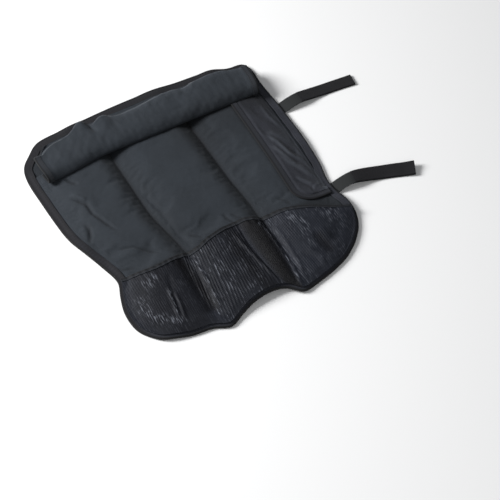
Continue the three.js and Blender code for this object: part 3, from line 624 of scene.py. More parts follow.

# %% [markdown]
# Four pockets of stretchy net hold small tools below the channels. The net is wider than the panel
# that it is sewn to, so it is gathered into fine ribs that run with the knives and catch the light.
# One grid makes all four. Its height is a soft arch for each pocket, plus the ribs, plus a few larger
# folds, which are listed like those of the padding. The loose net bags over the edge tape, so
# that little more than the tape's nose shows beside it.

# %% The shape of the net
mesh_depth = 157
mesh_top_y = y_of(0) + mesh_depth
net_inset = 4.5
net_wall = 1
net_size = (431, 160)
net_over_tape = 2.4
pocket_height = 8.5
pocket_bottoms = [0, 0.3, 0.61, 0.68, 1]
pocket_tops = [0, 0.27, 0.53, 0.655, 1]
pocket_bulge = np.array([0.9, 1, 0.72, 0.86])
pocket_rib = np.array([0.26, 0.75, 0.2, 0.48])
rib_width = np.array([3.6, 4.3, 3.2, 3.6])
hem_rise = through(
    [0, 0.14, 0.26, 0.34, 0.4, 0.53, 0.65, 0.75, 0.85, 1],
    [0, -0.018, -0.006, -0.008, 0.006, 0.026, 0.01, -0.004, -0.034, -0.088],
)
net_folds = [
    ([(-125, -145), (-130, -180), (-135, -212)], 2.2, 3.4),
    ([(-119, -152), (-122, -190), (-127, -219)], 1.8, 3),
    ([(-112, -118), (-121, -160), (-131, -200)], -1.3, 5),
    ([(-78, -98), (-77, -160), (-77, -222)], -2.2, 8),
    ([(-62, -104), (-62, -160), (-66, -222)], 2.0, 4),
    ([(18, -98), (26, -140), (34, -185), (41, -226)], 2.0, 3),
    ([(12, -96), (19, -140), (26, -190)], -1.2, 5),
    ([(50, -92), (56, -150), (58, -215)], -1.6, 12),
    ([(73, -104), (76, -150), (76, -200), (72, -244)], 3.0, 4.2),
    ([(88, -106), (90, -150), (88, -205), (82, -238)], 1.6, 4),
    ([(80, -110), (83, -160), (82, -215)], -1.6, 3.2),
    ([(139, -158), (141, -185), (148, -214)], -2.2, 5),
    ([(152, -150), (156, -180), (164, -204)], 1.5, 6),
    ([(101, -184), (114, -206), (117, -232)], -2.0, 3.4),
    ([(111, -180), (124, -202), (128, -226)], 1.2, 4),
]


def hem_y(share):
    return mesh_top_y + hem_rise(share) * body_depth


def net_spot(s, t):
    """The place and the pocket of a net point, from shares across all four pockets and up."""
    at = np.clip(s * 4, 0, 4 - 1e-9)
    pocket = at.astype(int)
    low, high = np.array(pocket_bottoms), np.array(pocket_tops)
    left = mix(low[pocket], high[pocket], t)
    right = mix(low[pocket + 1], high[pocket + 1], t)
    within = at - pocket
    x, y = patch(net_inset, hem_y, mix(left, right, within), t)
    return x, y, pocket, within


def above_tape(x, y):
    """The height at which the net's middle clears the edge tape."""
    return lining_top(x, y) + 2 * clearance + 1.5 * binding_wall + net_over_tape


def net_crest(x, y, pocket, within):
    """1 on the crest of a rib and 0 between two ribs."""
    drift = 1.1 * ripple(x, y * 0.25, 46, 11) + 0.5 * ripple(x, y * 0.12, 16, 12)
    lean = np.array([0, 0.13, 0, -0.1])[pocket] * np.where(pocket == 1, 1 - within, 1)
    line = x + lean * (mesh_top_y - y)
    return 0.5 + 0.5 * np.cos(2 * np.pi * line / rib_width[pocket] + drift)


def net_top(s, t):
    x, y, pocket, within = net_spot(s, t)
    opening = 1 - (1 - t) ** 3
    arch = 1 - np.abs(2 * within - 1) ** 2.6
    crest = net_crest(x, y, pocket, within)
    fill = np.maximum(arch, 0.4 * step(t, 0.7, 1))
    stand = opening * pocket_height * pocket_bulge[pocket] * fill
    ribs = pocket_rib[pocket] * crest * step(t, 0, 0.12) * (0.75 + 0.35 * ripple(x, y, 50, 14))
    ribs = ribs * (1 - 0.6 * step(t, 0.86, 0.97))
    folds = np.maximum(fold_sum(net_folds, x, y), -0.2 * stand)
    puckers = 0.4 * ripple(x, y * 0.3, 9, 15) * step(t, 0.86, 1)
    over_panel = mix(1.3, 1.8, step(t, 0, 0.1))
    resting = np.maximum(panel_top(x, y) + over_panel + stand, above_tape(x, y))
    return x, y, resting + ribs + folds + puckers


net = cloth_grid("net_pockets", 630, 70, net_top, net_size)
print("the net's highest point is", (points_of(net)[:, 2].max() / millimetre).round(1), "mm up")
thicken(net, net_wall)

# %% [markdown]
# The open edge of the pockets is bound with a narrow tape, again a U swept along a line. It dips where
# the net is sewn down between two pockets. The flaps' narrow tapes have the same wall and nose.

# %% The hem of the net
hem_width = 7
hem_flat_width = 2 * hem_width + 5
narrow_wall = 0.8
narrow_nose = 1.1


def hem_place(s, t):
    half = net_wall / 2 + clearance + narrow_wall
    inward, side = folded(t, hem_width, half, narrow_nose)
    x, y, top = net_top(s, 1 - np.maximum(inward, 0) / mesh_depth)
    _, edge_y, edge_top = net_top(s, np.ones_like(s))
    beyond = np.minimum(inward, 0)
    middle = np.where(inward < 0, edge_top, top) - net_wall / 2
    return x, np.where(inward < 0, edge_y - beyond, y), middle + side


hem = cloth_grid("net_hem", 420, 18, hem_place, (net_size[0], hem_flat_width))
thicken(hem, narrow_wall)

# %% [markdown]
# The top flap folds over the knives' handles. It is sewn along the upper edge, goes back over itself
# in a soft roll and ends just under its front. Its section is drawn once, from the end under the front
# over the top to the seam, and swept across the roll. The line of its back crease wanders, which gives
# the peaks and dents along the top of the photograph's roll.

# %% The shape of the rolled flap
flap_wall = 1.6
flap_height = 27
flap_size = (414, 135)
left_droop = 12
band_room = 1.1
crest_height, crest_width = 0.05, 0.035
section_steps = np.linspace(0, 1, 13)
section_forward = through(section_steps, [0.74, 0.86, 0.965, 1, 0.96, 0.86, 0.72, 0.55, 0.42, 0.33, 0.22,
                                          0.1, 0])
section_height = through(section_steps, [0.46, 0.4, 0.41, 0.53, 0.7, 0.88, 0.98, 1, 0.98, 0.76, 0.34,
                                         0.06, 0.02])
crease_back = through(
    [0, 0.1, 0.17, 0.2, 0.235, 0.26, 0.285, 0.31, 0.345, 0.37, 0.4, 0.5, 0.57, 0.64, 0.72, 0.77, 0.85,
     0.92, 1],
    [0.08, 0.13, 0.16, 0.23, 0.3, 0.26, 0.15, 0.19, 0.23, 0.16, 0.1, 0.09, 0.14, 0.18, 0.13, 0.19, 0.23,
     0.24, 0.22],
)
crease_up = through(
    [0, 0.1, 0.2, 0.24, 0.28, 0.34, 0.4, 0.55, 0.68, 0.78, 0.9, 1],
    [-0.1, -0.04, 0.02, 0.08, 0, 0.05, -0.04, 0.01, 0, 0.05, 0, -0.12],
)
flap_left = through([0, 0.15, 0.33, 0.65, 1], [0.098, 0.062, 0.045, 0.042, 0.052])
flap_right = through([0, 0.15, 0.33, 0.65, 1], [0.925, 0.945, 0.953, 0.953, 0.944])
flap_folds = [
    ([(0.205, 0.2), (0.24, 0.36), (0.25, 0.56)], 1.5, 0.016),
    ([(0.262, 0.22), (0.272, 0.4), (0.285, 0.62)], -2.6, 0.013),
    ([(0.31, 0.3), (0.345, 0.26), (0.37, 0.34)], 1.6, 0.014),
    ([(0.36, 0.3), (0.372, 0.48), (0.36, 0.72)], -1.4, 0.016),
    ([(0.4, 0.34), (0.5, 0.37), (0.6, 0.3)], 0.9, 0.014),
    ([(0.66, 0.28), (0.7, 0.4), (0.69, 0.58)], -1.3, 0.014),
    ([(0.72, 0.36), (0.78, 0.24), (0.86, 0.2)], 1.2, 0.014),
    ([(0.08, 0.3), (0.13, 0.3), (0.18, 0.24)], 0.8, 0.014),
    ([(0.5, 0.66), (0.6, 0.78), (0.72, 0.74)], -0.6, 0.03),
    ([(0.9, 0.3), (0.93, 0.55), (0.91, 0.78)], -0.8, 0.02),
]


def flap_spot(s, t):
    """A point of the flap's middle layer: s from end to end, t from under the front to the seam."""
    nominal, height = section_forward(t), section_height(t)
    x = mix(x_of(flap_left(nominal)), x_of(flap_right(nominal)), s)
    seam_y = side_y(panel_inset, "top", x) - flap_wall
    wander = bump(nominal - 0.4, 0.5)
    front_y = flap_front_y - left_droop * bump(s, 0.3)
    y = mix(seam_y, front_y, nominal - crease_back(s) * wander)
    crest = crest_height * np.exp(-(((nominal - 0.4) / crest_width) ** 2)) * step(t, 0.4, 0.55)
    rise = height + crease_up(s) * wander + crest
    banded = band_room * (1 - step(np.minimum(s, 1 - s), 0.022, 0.045))
    seat = lining_top(x, y) + clearance + banded + flap_wall / 2
    return x, y, seat + rise * flap_height


def flap_normal(s, t):
    """The flap's own way out at a point, which has no part along the roll."""
    low, high = flap_spot(s, np.maximum(t - 0.006, 0)), flap_spot(s, np.minimum(t + 0.006, 1))
    along = [b - a for a, b in zip(low, high)]
    length = np.hypot(along[1], along[2])
    return -along[2] / length, along[1] / length


def flap_place(s, t):
    x, y, z = flap_spot(s, t)
    normal_y, normal_z = flap_normal(s, t)
    nominal = section_forward(t)
    over = step(t, 0.2, 0.3) * step(1 - t, 0.02, 0.12)
    ends = step(np.minimum(s, 1 - s), 0.025, 0.06)
    folds = fold_sum(flap_folds, s, nominal)
    wrinkles = 0.35 * ripple(x, nominal * 85, 34, 21) + 0.16 * ripple(x, nominal * 60, 11, 22)
    out = (folds + wrinkles) * over * ends
    return x, y + out * normal_y, z + out * normal_z


flap = cloth_grid("rolled_flap", 330, 84, flap_place, flap_size)
thicken(flap, flap_wall, offset=0)

# %% [markdown]
# The two ends of the flap are bound with the same narrow tape. The tape follows the flap's curl, so its
# U stands on the flap's own surface direction instead of straight up.

# %% The bands on the flap's ends
flap_band_width = 11
flap_band_flat_width = 27
flap_band_share = flap_band_width / body_width
flap_band_tucks = 44


def band_place(at_left):
    def place(s, t):
        half = flap_wall / 2 + clearance + narrow_wall
        inward, side = folded(t if at_left else 1 - t, flap_band_width, half, narrow_nose)
        share = np.maximum(inward, 0) / flap_band_width * flap_band_share
        share = share if at_left else 1 - share
        x, y, z = flap_spot(share, s)
        normal_y, normal_z = flap_normal(share, s)
        beyond = np.minimum(inward, 0) * (1 if at_left else -1)
        puckers = 1 + 0.05 * np.sin(2 * np.pi * s * flap_band_tucks)
        return x + beyond, y + side * normal_y * puckers, z + side * normal_z * puckers

    return place


bands = {}
for side_name, at_left in (("left", True), ("right", False)):
    size = (flap_size[1], flap_band_flat_width)
    band = cloth_grid("flap_band_" + side_name, 150, 18, band_place(at_left), size)
    bands[side_name] = thicken(band, narrow_wall)

# %% [markdown]
# A thin side flap is sewn along the right side and lies over the third channel, with a bound free edge
# and one round corner. It is a single unpadded layer, so it wrinkles more than anything else here: a
# few diagonal folds are drawn and smaller ripples run along them.

# %% The side flap
side_wall = 1.1
side_width = 60
side_band_width = 9
side_band_flat_width = 23
side_corner = 34
side_top_y = flap_front_y - 2
side_bottom_y = mesh_top_y - 3
side_seam_x = float(side_x(panel_inset, "right", 0)) - 3
side_left_x = side_seam_x - side_width
corner_x, corner_y = side_left_x + side_corner, side_bottom_y + side_corner
straight_length, round_length = side_top_y - corner_y, side_corner * np.pi / 2
level_length = side_seam_x - corner_x
side_length = straight_length + round_length + level_length
side_folds = [
    ([(166, 62), (178, 38), (185, 6), (206, -22)], 2.3, 4.2),
    ([(170, 66), (190, 48), (204, 24)], 1.3, 6),
    ([(163, 38), (172, 16), (182, -16), (203, -46)], 1.7, 4),
    ([(166, 12), (176, -14), (188, -34), (205, -58)], 1.4, 4),
    ([(164, -44), (176, -60), (184, -72), (181, -87)], -1.6, 3),
    ([(168, -42), (182, -58), (190, -70)], 1.4, 3.4),
    ([(176, -84), (190, -72), (204, -70)], 0.8, 4),
    ([(164, 88), (168, 60), (171, 40)], -1.0, 4),
    ([(192, 130), (194, 96), (200, 66)], 1.1, 3.5),
    ([(178, 138), (177, 110), (181, 84)], -0.8, 5),
    ([(200, 18), (190, -6), (186, -30)], -0.8, 5),
]


def side_edge(s):
    """The free edge of the side flap and the way out over it: down, round the corner, to the seam."""
    run = s * side_length
    down = np.minimum(run, straight_length)
    turn = np.clip((run - straight_length) / side_corner, 0, np.pi / 2)
    level = np.maximum(run - straight_length - round_length, 0)
    x = corner_x - side_corner * np.cos(turn) + level
    y = side_top_y - down - side_corner * np.sin(turn)
    return x, y, -np.cos(turn), -np.sin(turn)


def side_spot(s, inward):
    """A place on the side flap, by its share along the free edge and its distance in from it."""
    x, y, out_x, out_y = side_edge(s)
    run = s * side_length
    lowest = side_bottom_y + 2 * side_band_width
    low_seam_y = mix(corner_y, lowest, step(run, straight_length, side_length))
    seam_y = np.where(run < straight_length, y, low_seam_y)
    inner_x, inner_y = x - side_band_width * out_x, y - side_band_width * out_y
    share = np.maximum(inward - side_band_width, 0) / (side_width - side_band_width)
    near = np.clip(inward / side_band_width, 0, 1)
    spot_x = mix(mix(x, inner_x, near), side_seam_x, share)
    spot_y = mix(mix(y, inner_y, near), seam_y, share)
    return spot_x, spot_y


def side_top(x, y, inward):
    """The height of the side flap: slack at its free edge, and lying close beside its seam."""
    free = step(inward, side_band_width, side_band_width + 7) * step(side_width - inward, 0, 7)
    small = 0.35 * ripple(x * 1.6 + y * 0.5, y * 0.5, 26, 31)
    slack = mix(2.2, 0.4, step(inward, 42, 58))
    return panel_top(x, y) + slack + side_wall + free * (1.5 + fold_sum(side_folds, x, y) + small)


def side_place(s, t):
    inward = t * side_width
    x, y = side_spot(s, inward)
    return x, y, side_top(x, y, inward)


def side_band_place(s, t):
    half = side_wall / 2 + clearance + narrow_wall
    inward, side = folded(t, side_band_width, half, narrow_nose)
    x, y = side_spot(s, np.maximum(inward, 0))
    _, _, out_x, out_y = side_edge(s)
    beyond = np.minimum(inward, 0)
    middle = side_top(x, y, np.maximum(inward, 0)) - side_wall / 2
    return x - beyond * out_x, y - beyond * out_y, middle - side


side_flap = cloth_grid("side_flap_sheet", 240, 90, side_place, (side_length, side_width))
thicken(side_flap, side_wall)
side_band = cloth_grid("side_flap_band", 260, 18, side_band_place, (side_length, side_band_flat_width))
thicken(side_band, narrow_wall)

# %% [markdown]
# Two straps of webbing close the rolled bag. They stand up a little from the seam, come down and lie on
# the table, the lower one with its far edge a little off it. Hook tape covers their outer part. Both
# are flat tapes along one curve, with soft long edges, so the same function makes all four pieces. A
# strap's row gives the place of its root up the side, how far it drifts and bends sideways, how high
# its arch and its tip stand, and how steeply it is turned about its length.

# %% The straps and their hook tape
strap_width = 24
strap_length = 142
strap_wall = 1.5
strap_lift = 9
root_lift = 1.2
hook_wall = 1.3
hook_width = 23
hook_start = 36 / strap_length
straps = {
    "upper": (0.723, 0, 0.03, 0.8, 0.07, 0),
    "lower": (0.328, -0.195, 0.034, 1, 0.28, 0.24),
}


def strap_root_x(y):
    return side_x(0, "right", y) + binding_wall + 3 * clearance


def strap_place(strap, start, below, wall, half_width):
    root, drift, bend, arch, tip, roll = straps[strap]
    root_y = y_of(root)
    heights = through([0, 0.12, 0.24, 0.42, 0.6, 0.85, 1],
                      [root_lift / strap_lift, 0.75 * arch, arch, 0.45 * arch, 0.06 * arch, 0, tip])

    def path(share):
        sideways = drift * share ** 1.5 + bend * np.sin(np.pi * share)
        x = strap_root_x(np.array([root_y])) + share * strap_length
        return x, root_y + sideways * strap_length, np.maximum(heights(share) * strap_lift, 0)

    def place(s, t):
        share = mix(start, 1, s)
        x, y, z = path(share)
        further = np.minimum(share + 0.02, 1)
        ahead, behind = path(further), path(further - 0.02)
        slope = (ahead[1] - behind[1]) / (ahead[0] - behind[0])
        side = (t - 0.5) * 2 * half_width
        turned = np.minimum(share * 4, 1)
        root_shift = (strap_root_x(y + side) - strap_root_x(np.array([root_y]))) * (1 - turned)
        edge = 0.28 * step(np.abs(t - 0.5), 0.47, 0.5)
        z = z + roll * (side + strap_width / 2) * step(share, 0.05, 0.45)
        return x - slope * side * turned + root_shift, y + side, z + below + wall - edge

    return place


strap_pieces, hook_pieces = {}, {}
for strap in straps:
    place = strap_place(strap, 0, 0, strap_wall, strap_width / 2)
    piece = cloth_grid("webbing_" + strap, 180, 40, place, (strap_length, strap_width))
    strap_pieces[strap] = thicken(piece, strap_wall - 0.2)
    place = strap_place(strap, hook_start, strap_wall + clearance, hook_wall, hook_width / 2)
    hook_size = (strap_length * (1 - hook_start), hook_width)
    piece = cloth_grid("hook_strip_" + strap, 140, 40, place, hook_size)
    hook_pieces[strap] = thicken(piece, hook_wall - 0.2)

# %% [markdown]
# Shader maths reads best as sums and products. `Shade` wraps a socket of a material's node tree, adds a
# Math node for each operator, and makes any other node through `node`. It is used by every finish.

# %% Shader maths as Python expressions
class Shade:
    def __init__(self, tree, socket=None):
        self.tree, self.socket = tree, socket

    def node(self, kind, settings, sockets, output=0):
        """Adds a node: its settings first, then the values or links of its sockets."""
        made = self.tree.nodes.new("ShaderNode" + kind)
        for key, value in settings.items():
            if key == "stops":
                for k, (at, shade) in enumerate(value):
                    stop = made.color_ramp.elements[k] if k < 2 else made.color_ramp.elements.new(at)
                    stop.position, stop.color = at, (shade, shade, shade, 1)
            else:
                setattr(made, key, value)
        for key, value in sockets.items():
            if isinstance(value, Shade):
                self.tree.links.new(value.socket, made.inputs[key])
            else:
                made.inputs[key].default_value = value
        return Shade(self.tree, made.outputs[output])

    def math(self, operation, *values):
        return self.node("Math", {"operation": operation}, dict(enumerate(values)))

    def __add__(self, other):
        return self.math("ADD", self, other)

    def __sub__(self, other):
        return self.math("SUBTRACT", self, other)

    def __rsub__(self, other):
        return self.math("SUBTRACT", other, self)

    def __mul__(self, other):
        return self.math("MULTIPLY", self, other)

    def __gt__(self, other):
        return self.math("GREATER_THAN", self, other)

    def __lt__(self, other):
        return self.math("LESS_THAN", self, other)

    __radd__, __rmul__ = __add__, __mul__

    def sine(self):
        return self.math("SINE", self)

    def size(self):
        return self.math("ABSOLUTE", self)

    def tint(self, dark, light):
        """A colour between two, by this number."""
        sockets = {0: self, 6: dark, 7: light}
        return self.node("Mix", {"data_type": "RGBA"}, sockets, output=2)


def linear(red, green, blue):
    """A colour as seen on a screen, 0 to 255, as Blender's linear colour."""
    def light(value):
        value = value / 255
        return value / 12.92 if value <= 0.04045 else ((value + 0.055) / 1.055) ** 2.4

    return light(red), light(green), light(blue), 1.0


def times(shade_of, factor):
    """A screen colour made darker or lighter, as a linear colour."""
    return linear(*[value * factor for value in shade_of])


print("the grey 60, 64, 70 of a screen is", [round(v, 3) for v in linear(60, 64, 70)])

# %% [markdown]
# The cloth finishes share a Principled shader with a soft sheen, the thread directions u and v in metres
# from the UV map, waves that repeat along them, and cloudy noise, because cloth is never one colour.
# Whatever belongs to the thread follows the UV map, and whatever belongs to wear follows the object.

# %% What the finishes share
def start_finish(name, sheen, specular=0.5, coat=0.0):
    """A new material, and a first Shade on its tree."""
    material = bpy.data.materials.new(name)
    material.use_nodes = True
    tree = material.node_tree
    shader = tree.nodes["Principled BSDF"]
    shader.inputs["Sheen Weight"].default_value = sheen
    shader.inputs["Sheen Roughness"].default_value = 0.5
    shader.inputs["Specular IOR Level"].default_value = specular
    shader.inputs["Coat Weight"].default_value = coat
    return material, Shade(tree)


def threads_of(shade):
    """The places along and across the threads, in metres."""
    threads = shade.node("UVMap", {}, {})
    return [shade.node("SeparateXYZ", {}, {"Vector": threads}, output=axis) for axis in (0, 1)]


def objects_place(shade):
    return shade.node("TexCoord", {}, {}, output=3)


def kept(shade, name):
    """A number that is kept on the piece's points."""
    return shade.node("Attribute", {"attribute_name": name}, {}, output=2)


def noise(shade, where, scale, detail=2.0, roughness=0.5):
    sockets = {"Vector": where, "Scale": scale, "Detail": detail, "Roughness": roughness}
    return shade.node("TexNoise", {}, sockets)


def spread(value, low, high):
    """Stretches a value so that low becomes 0 and high becomes 1."""
    return value.node("MapRange", {}, {"Value": value, "From Min": low, "From Max": high})


def waves_every(pitch, along):
    """Waves from -1 to 1 whose crests are one pitch apart."""
    return (along * (2 * math.pi / pitch)).sine()


def connect(shade, colour, roughness, height, depth, strength=1.0, alpha=None):
    """Feeds the shader: a colour, a roughness and the height of the surface's relief in metres."""
    shader = shade.tree.nodes["Principled BSDF"]
    normal = shade.node("Bump", {}, {"Height": height, "Distance": depth, "Strength": strength})
    links = shade.tree.links
    links.new(colour.socket, shader.inputs["Base Color"])
    links.new(roughness.socket, shader.inputs["Roughness"])
    links.new(normal.socket, shader.inputs["Normal"])
    if alpha is not None:
        links.new(alpha.socket, shader.inputs["Alpha"])


def weave(u, v, pitch):
    """Height of a plain weave: warp and weft pass over each other in turn."""
    warp = (u * (math.pi / pitch)).sine()
    weft = (v * (math.pi / pitch)).sine()
    over = (warp * weft) > 0
    return over * warp.size() + (1 - over) * weft.size()


helpers = start_finish, threads_of, objects_place, kept, noise, spread, waves_every, connect, weave
print("the finishes share", len(helpers), "helpers")

# %% [markdown]
# Some finishes change over a piece. `keep_on_points` stores a number on each point under a name, which
# the material reads. The panel gets painted shade in its creases, under the net, under the top flap's
# front, beside the side flap's edge and beside its seams: `seam_shades` says how far off, how wide and
# how strongly. The edge tape is paler and bluer at the lower edge and on the right: partly the tape's
# own tone, partly painted light on the side that faces away from the key lamp. The side flap's raised
# folds and the top flap's crest get painted highlights, the side flap gets painted light beside its
# seam, and both flaps get painted shade: the side flap near its top, under the roll, and the top flap
# on its front.

# %% Values kept on the points
def keep_on_points(piece, name, values):
    layer = piece.data.attributes.new(name, "FLOAT", "POINT")
    layer.data.foreach_set("value", np.asarray(values, np.float32))


def shares_on(piece, size):
    """The shares along and across a cloth grid at each point, read back from its UV map."""
    corner = np.empty(len(piece.data.loops), int)
    piece.data.loops.foreach_get("vertex_index", corner)
    shares = np.zeros((len(piece.data.vertices), 2))
    shares[corner] = uv_of(piece) / (np.array(size) * millimetre)
    return np.clip(shares, 0, 1).T


# Bands of painted shade beside the inner seams: offset, width and strength of each.
seam_shades = [(0, 5, 0.42), (-12, 12, 0.32), (15, 14, 0.22)]


def near_line(distance, width):
    """1 at a line and fading out on both of its sides."""
    return np.exp(-((distance / width) ** 2))


# Painted shade on the panel: under the net, under the top flap's front, in its creases, beside its seams
# and beside the side flap's edge.
def painted_shade_places(piece):
    x, y, _ = points_of(piece).T / millimetre
    painted_shade = 0.5 * step(mesh_top_y + 4 - y, 0, 8) + 0.32 * step(y, 30, 150) * step(x, -10, 60)
    for points, height, wide in panel_creases:
        if height < 0:
            painted_shade += 0.4 * fold_along(points, x, y, wide * 0.9)
    for line_x, line_y in seam_lines[1:3]:
        distance = x - np.interp(y, line_y, line_x)
        for offset, width, strength in seam_shades:
            painted_shade += strength * near_line(distance - offset, width)
    painted_shade += 0.3 * step(y, 138, 158) * step(x, -20, 40)
    under_side_flap = near_line(x - side_left_x + 1, 3)
    return painted_shade + 0.5 * under_side_flap * step(y, side_bottom_y + 20, side_bottom_y + 40)


def faces_forward(piece):
    """How far the rim looks down and right, away from the key lamp, at each point of the tape, from 0 to
    1: where the tape gets a paler tone and painted light.
    """
    share, _ = shares_on(piece, (rim_length, tape_flat_width))
    out = around(outward, share * len(rim))
    return np.clip(0.5 + 0.6 * out[0] - 0.75 * out[1], 0, 1)


keep_on_points(panel, "painted_shade", painted_shade_places(panel))
# A paler tape tone, and painted light on the side of the tape that faces away from the key lamp.
keep_on_points(edge_tape, "painted_light_and_tone", faces_forward(edge_tape))
# Painted highlights on the side flap's raised folds, painted light beside its seam and painted shade
# near its top, under the roll.
side_flap_x, side_flap_y, _ = points_of(side_flap).T / millimetre
raised_folds = [fold for fold in side_folds if fold[1] > 0]
lit_folds = fold_sum(raised_folds, side_flap_x + 2, side_flap_y)
near_seam = step(side_flap_x, 190, 206) * step(130 - side_flap_y, 0, 60)
keep_on_points(side_flap, "painted_shade", 0.55 * step(side_flap_y, 95, 150))
keep_on_points(side_flap, "painted_light_and_tone", 0.4 * near_seam + 0.16 * lit_folds)
# Painted highlight along the top flap's crest and painted shade on its front.
flap_share, flap_turn = shares_on(flap, flap_size)
flap_forward = section_forward(flap_turn)
on_crest = near_line(flap_forward - 0.4, 0.07) * step(flap_turn, 0.4, 0.5)
on_front = step(flap_forward, 0.66, 0.96) * step(flap_share, 0.45, 0.7)
keep_on_points(flap, "painted_light_and_tone", 0.36 * on_crest * step(flap_share, 0.3, 0.45))
keep_on_points(flap, "painted_shade", 0.32 * on_front)
uneven_pieces = panel, edge_tape, side_flap, flap
print("values kept on", sum(len(piece.data.vertices) for piece in uneven_pieces), "points")

# %% [markdown]
# The padded panel, the flaps and the lining are woven nylon with a matt dark grey face. The weave is
# fine, so from afar it only makes the surface grainy. Each piece gets its own shade of the same cloth,
# mottled from a little darker to a little lighter, and values kept on the points add painted shade and
# painted light.

# %% Woven nylon
mottle = 0.1
# The colours that painted shade and painted light blend towards.
painted_shade_nylon = linear(16, 18, 21)
painted_light_nylon = linear(74, 79, 86)


def nylon(name, shade_of, pitch, depth):
    material, shade = start_finish(name, 0.04, specular=0.25)
    u, v = threads_of(shade)
    place = objects_place(shade)
    cloudy = noise(shade, place, 22, 3)
    patchy = noise(shade, place, 190, 3)
    grain = noise(shade, place, 900, 2)
    cloth = weave(u, v, pitch)
    tone = cloudy * 0.36 + patchy * 0.3 + grain * 0.2 + cloth * 0.14
    colour = spread(tone, 0.3, 0.7).tint(times(shade_of, 1 - mottle), times(shade_of, 1 + mottle))
    # Painted shade, then painted light, from the values kept on the points.
    colour = kept(shade, "painted_shade").tint(colour, painted_shade_nylon)
    colour = kept(shade, "painted_light_and_tone").tint(colour, painted_light_nylon)
    connect(shade, colour, 0.72 + grain * 0.16, cloth + grain * 0.5, depth)
    return material


panel_nylon = nylon("panel_nylon", (40, 45, 51), 0.0009, 0.00012)
flap_nylon = nylon("flap_nylon", (42, 47, 53), 0.0009, 0.00012)
side_nylon = nylon("side_flap_nylon", (42, 44, 51), 0.0007, 0.0001)
lining_nylon = nylon("lining_nylon", (40, 44, 49), 0.0006, 0.00008)
print("nylon finishes made")

# %% [markdown]
# The cover is leatherette: black, smooth and glossy, with a fine pebbled grain of soft cells.

# %% Leatherette
def leatherette():
    material, shade = start_finish("leatherette", 0.0, specular=0.5, coat=0.25)
    shade.tree.nodes["Principled BSDF"].inputs["Coat Roughness"].default_value = 0.25
    place = objects_place(shade)
    cells = shade.node("TexVoronoi", {"feature": "F1"}, {"Vector": place, "Scale": 900.0})
    rubbed = noise(shade, place, 12, 4)
    creased = noise(shade, place, 60, 4, 0.6)
    colour = rubbed.tint(linear(19, 20, 22), linear(30, 31, 34))
    connect(shade, colour, 0.28 + rubbed * 0.22, cells * -1.0 + creased * 1.5, 0.00012)
    return material


cover_leatherette = leatherette()
print("leatherette made")

# %% [markdown]
# The binding is a ribbed tape of nearly the cloth's grey, with ribs across it, a line of stitches a
# little in from its inner edge and painted shade along its fold over the rim. On the edge tape a value
# kept on the points makes it paler and bluer: partly its own tone, partly painted light. Its v runs from
# one edge of the tape over the rim to the other.

# %% Ribbed tape with stitches
painted_light_tape_tone = (47, 49, 56)
stitch_colour = linear(30, 30, 32)
rib_pitch, stitch_pitch = 0.0011, 0.0034
seam_from_edge = 0.0022


def ribbed_tape(name, flat_width, shade_of):
    material, shade = start_finish(name, 0.03, specular=0.25)
    u, v = threads_of(shade)
    place = objects_place(shade)
    half = flat_width * millimetre / 2
    from_nose = (v - half).size()
    to_seam = (from_nose - (half - seam_from_edge)).size()
    stitch = (to_seam < 0.00045) * (waves_every(stitch_pitch, u) > -0.45)
    cloudy = noise(shade, place, 45, 3)
    fine = noise(shade, place, 420, 3)
    ribs = waves_every(rib_pitch, u) * 0.5 + 0.5
    tone = cloudy * 0.5 + fine * 0.3 + ribs * 0.2
    # Towards a paler, bluer tone: partly the tape's own, partly painted light.
    painted_light_and_tone = kept(shade, "painted_light_and_tone")
    dark = painted_light_and_tone.tint(times(shade_of, 0.86), times(painted_light_tape_tone, 0.5))
    light = painted_light_and_tone.tint(times(shade_of, 1.1), times(painted_light_tape_tone, 1.35))
    colour = stitch.tint(tone.tint(dark, light), stitch_colour)
    # Painted shade along the tape's fold over the rim.
    colour = spread(from_nose, 0.0072, 0.0044).tint(colour, times(shade_of, 0.5))
    dip = 1 - (to_seam < 0.0011) * 0.9
    connect(shade, colour, 0.7 + cloudy * 0.1, ribs * 0.5 + dip + stitch * 0.8, 0.00018)
    return material


edge_tape_finish = ribbed_tape("edge_tape_ribbed", tape_flat_width, (31, 31, 35))
hem_finish = ribbed_tape("hem_ribbed", hem_flat_width, (33, 36, 42))
flap_band_finish = ribbed_tape("flap_band_ribbed", flap_band_flat_width, (42, 45, 50))
side_band_finish = ribbed_tape("side_band_ribbed", side_band_flat_width, (41, 43, 49))
print("tapes made")

# %% [markdown]
# The net is knitted from glossy thread: a close grid of small holes with thicker ribs that run with the
# knives. Where a rib's crest faces the light its thread shines in short streaks, which are painted
# highlights in the base colour. The attribute "glint" says where they are painted, which is on the ribs'
# crests and along a few lines, and a second attribute is painted shade, darkest over the deep third
# pocket, lighter over the first two, and in the valleys between bulges.

# %% Knitted net
net_glints = [
    ([(-176, -138), (-178, -165), (-168, -190), (-148, -208), (-124, -222)], 8),
    ([(-162, -128), (-144, -128), (-128, -120)], 8),
    ([(-125, -150), (-130, -182), (-135, -208)], 2.5),
    ([(-60, -104), (-60, -160), (-66, -222)], 3),
    ([(73, -104), (76, -150), (76, -200), (72, -240)], 2.6),
    ([(64, -92), (72, -108), (76, -126)], 4),
    ([(112, -100), (128, -128), (136, -150)], 6),
    ([(168, -104), (180, -128), (186, -156)], 10),
]
pocket_glint = np.array([0.3, 0.9, 0.08, 0.55])
pocket_painted_shade = np.array([0.6, 0.4, 1, 0])


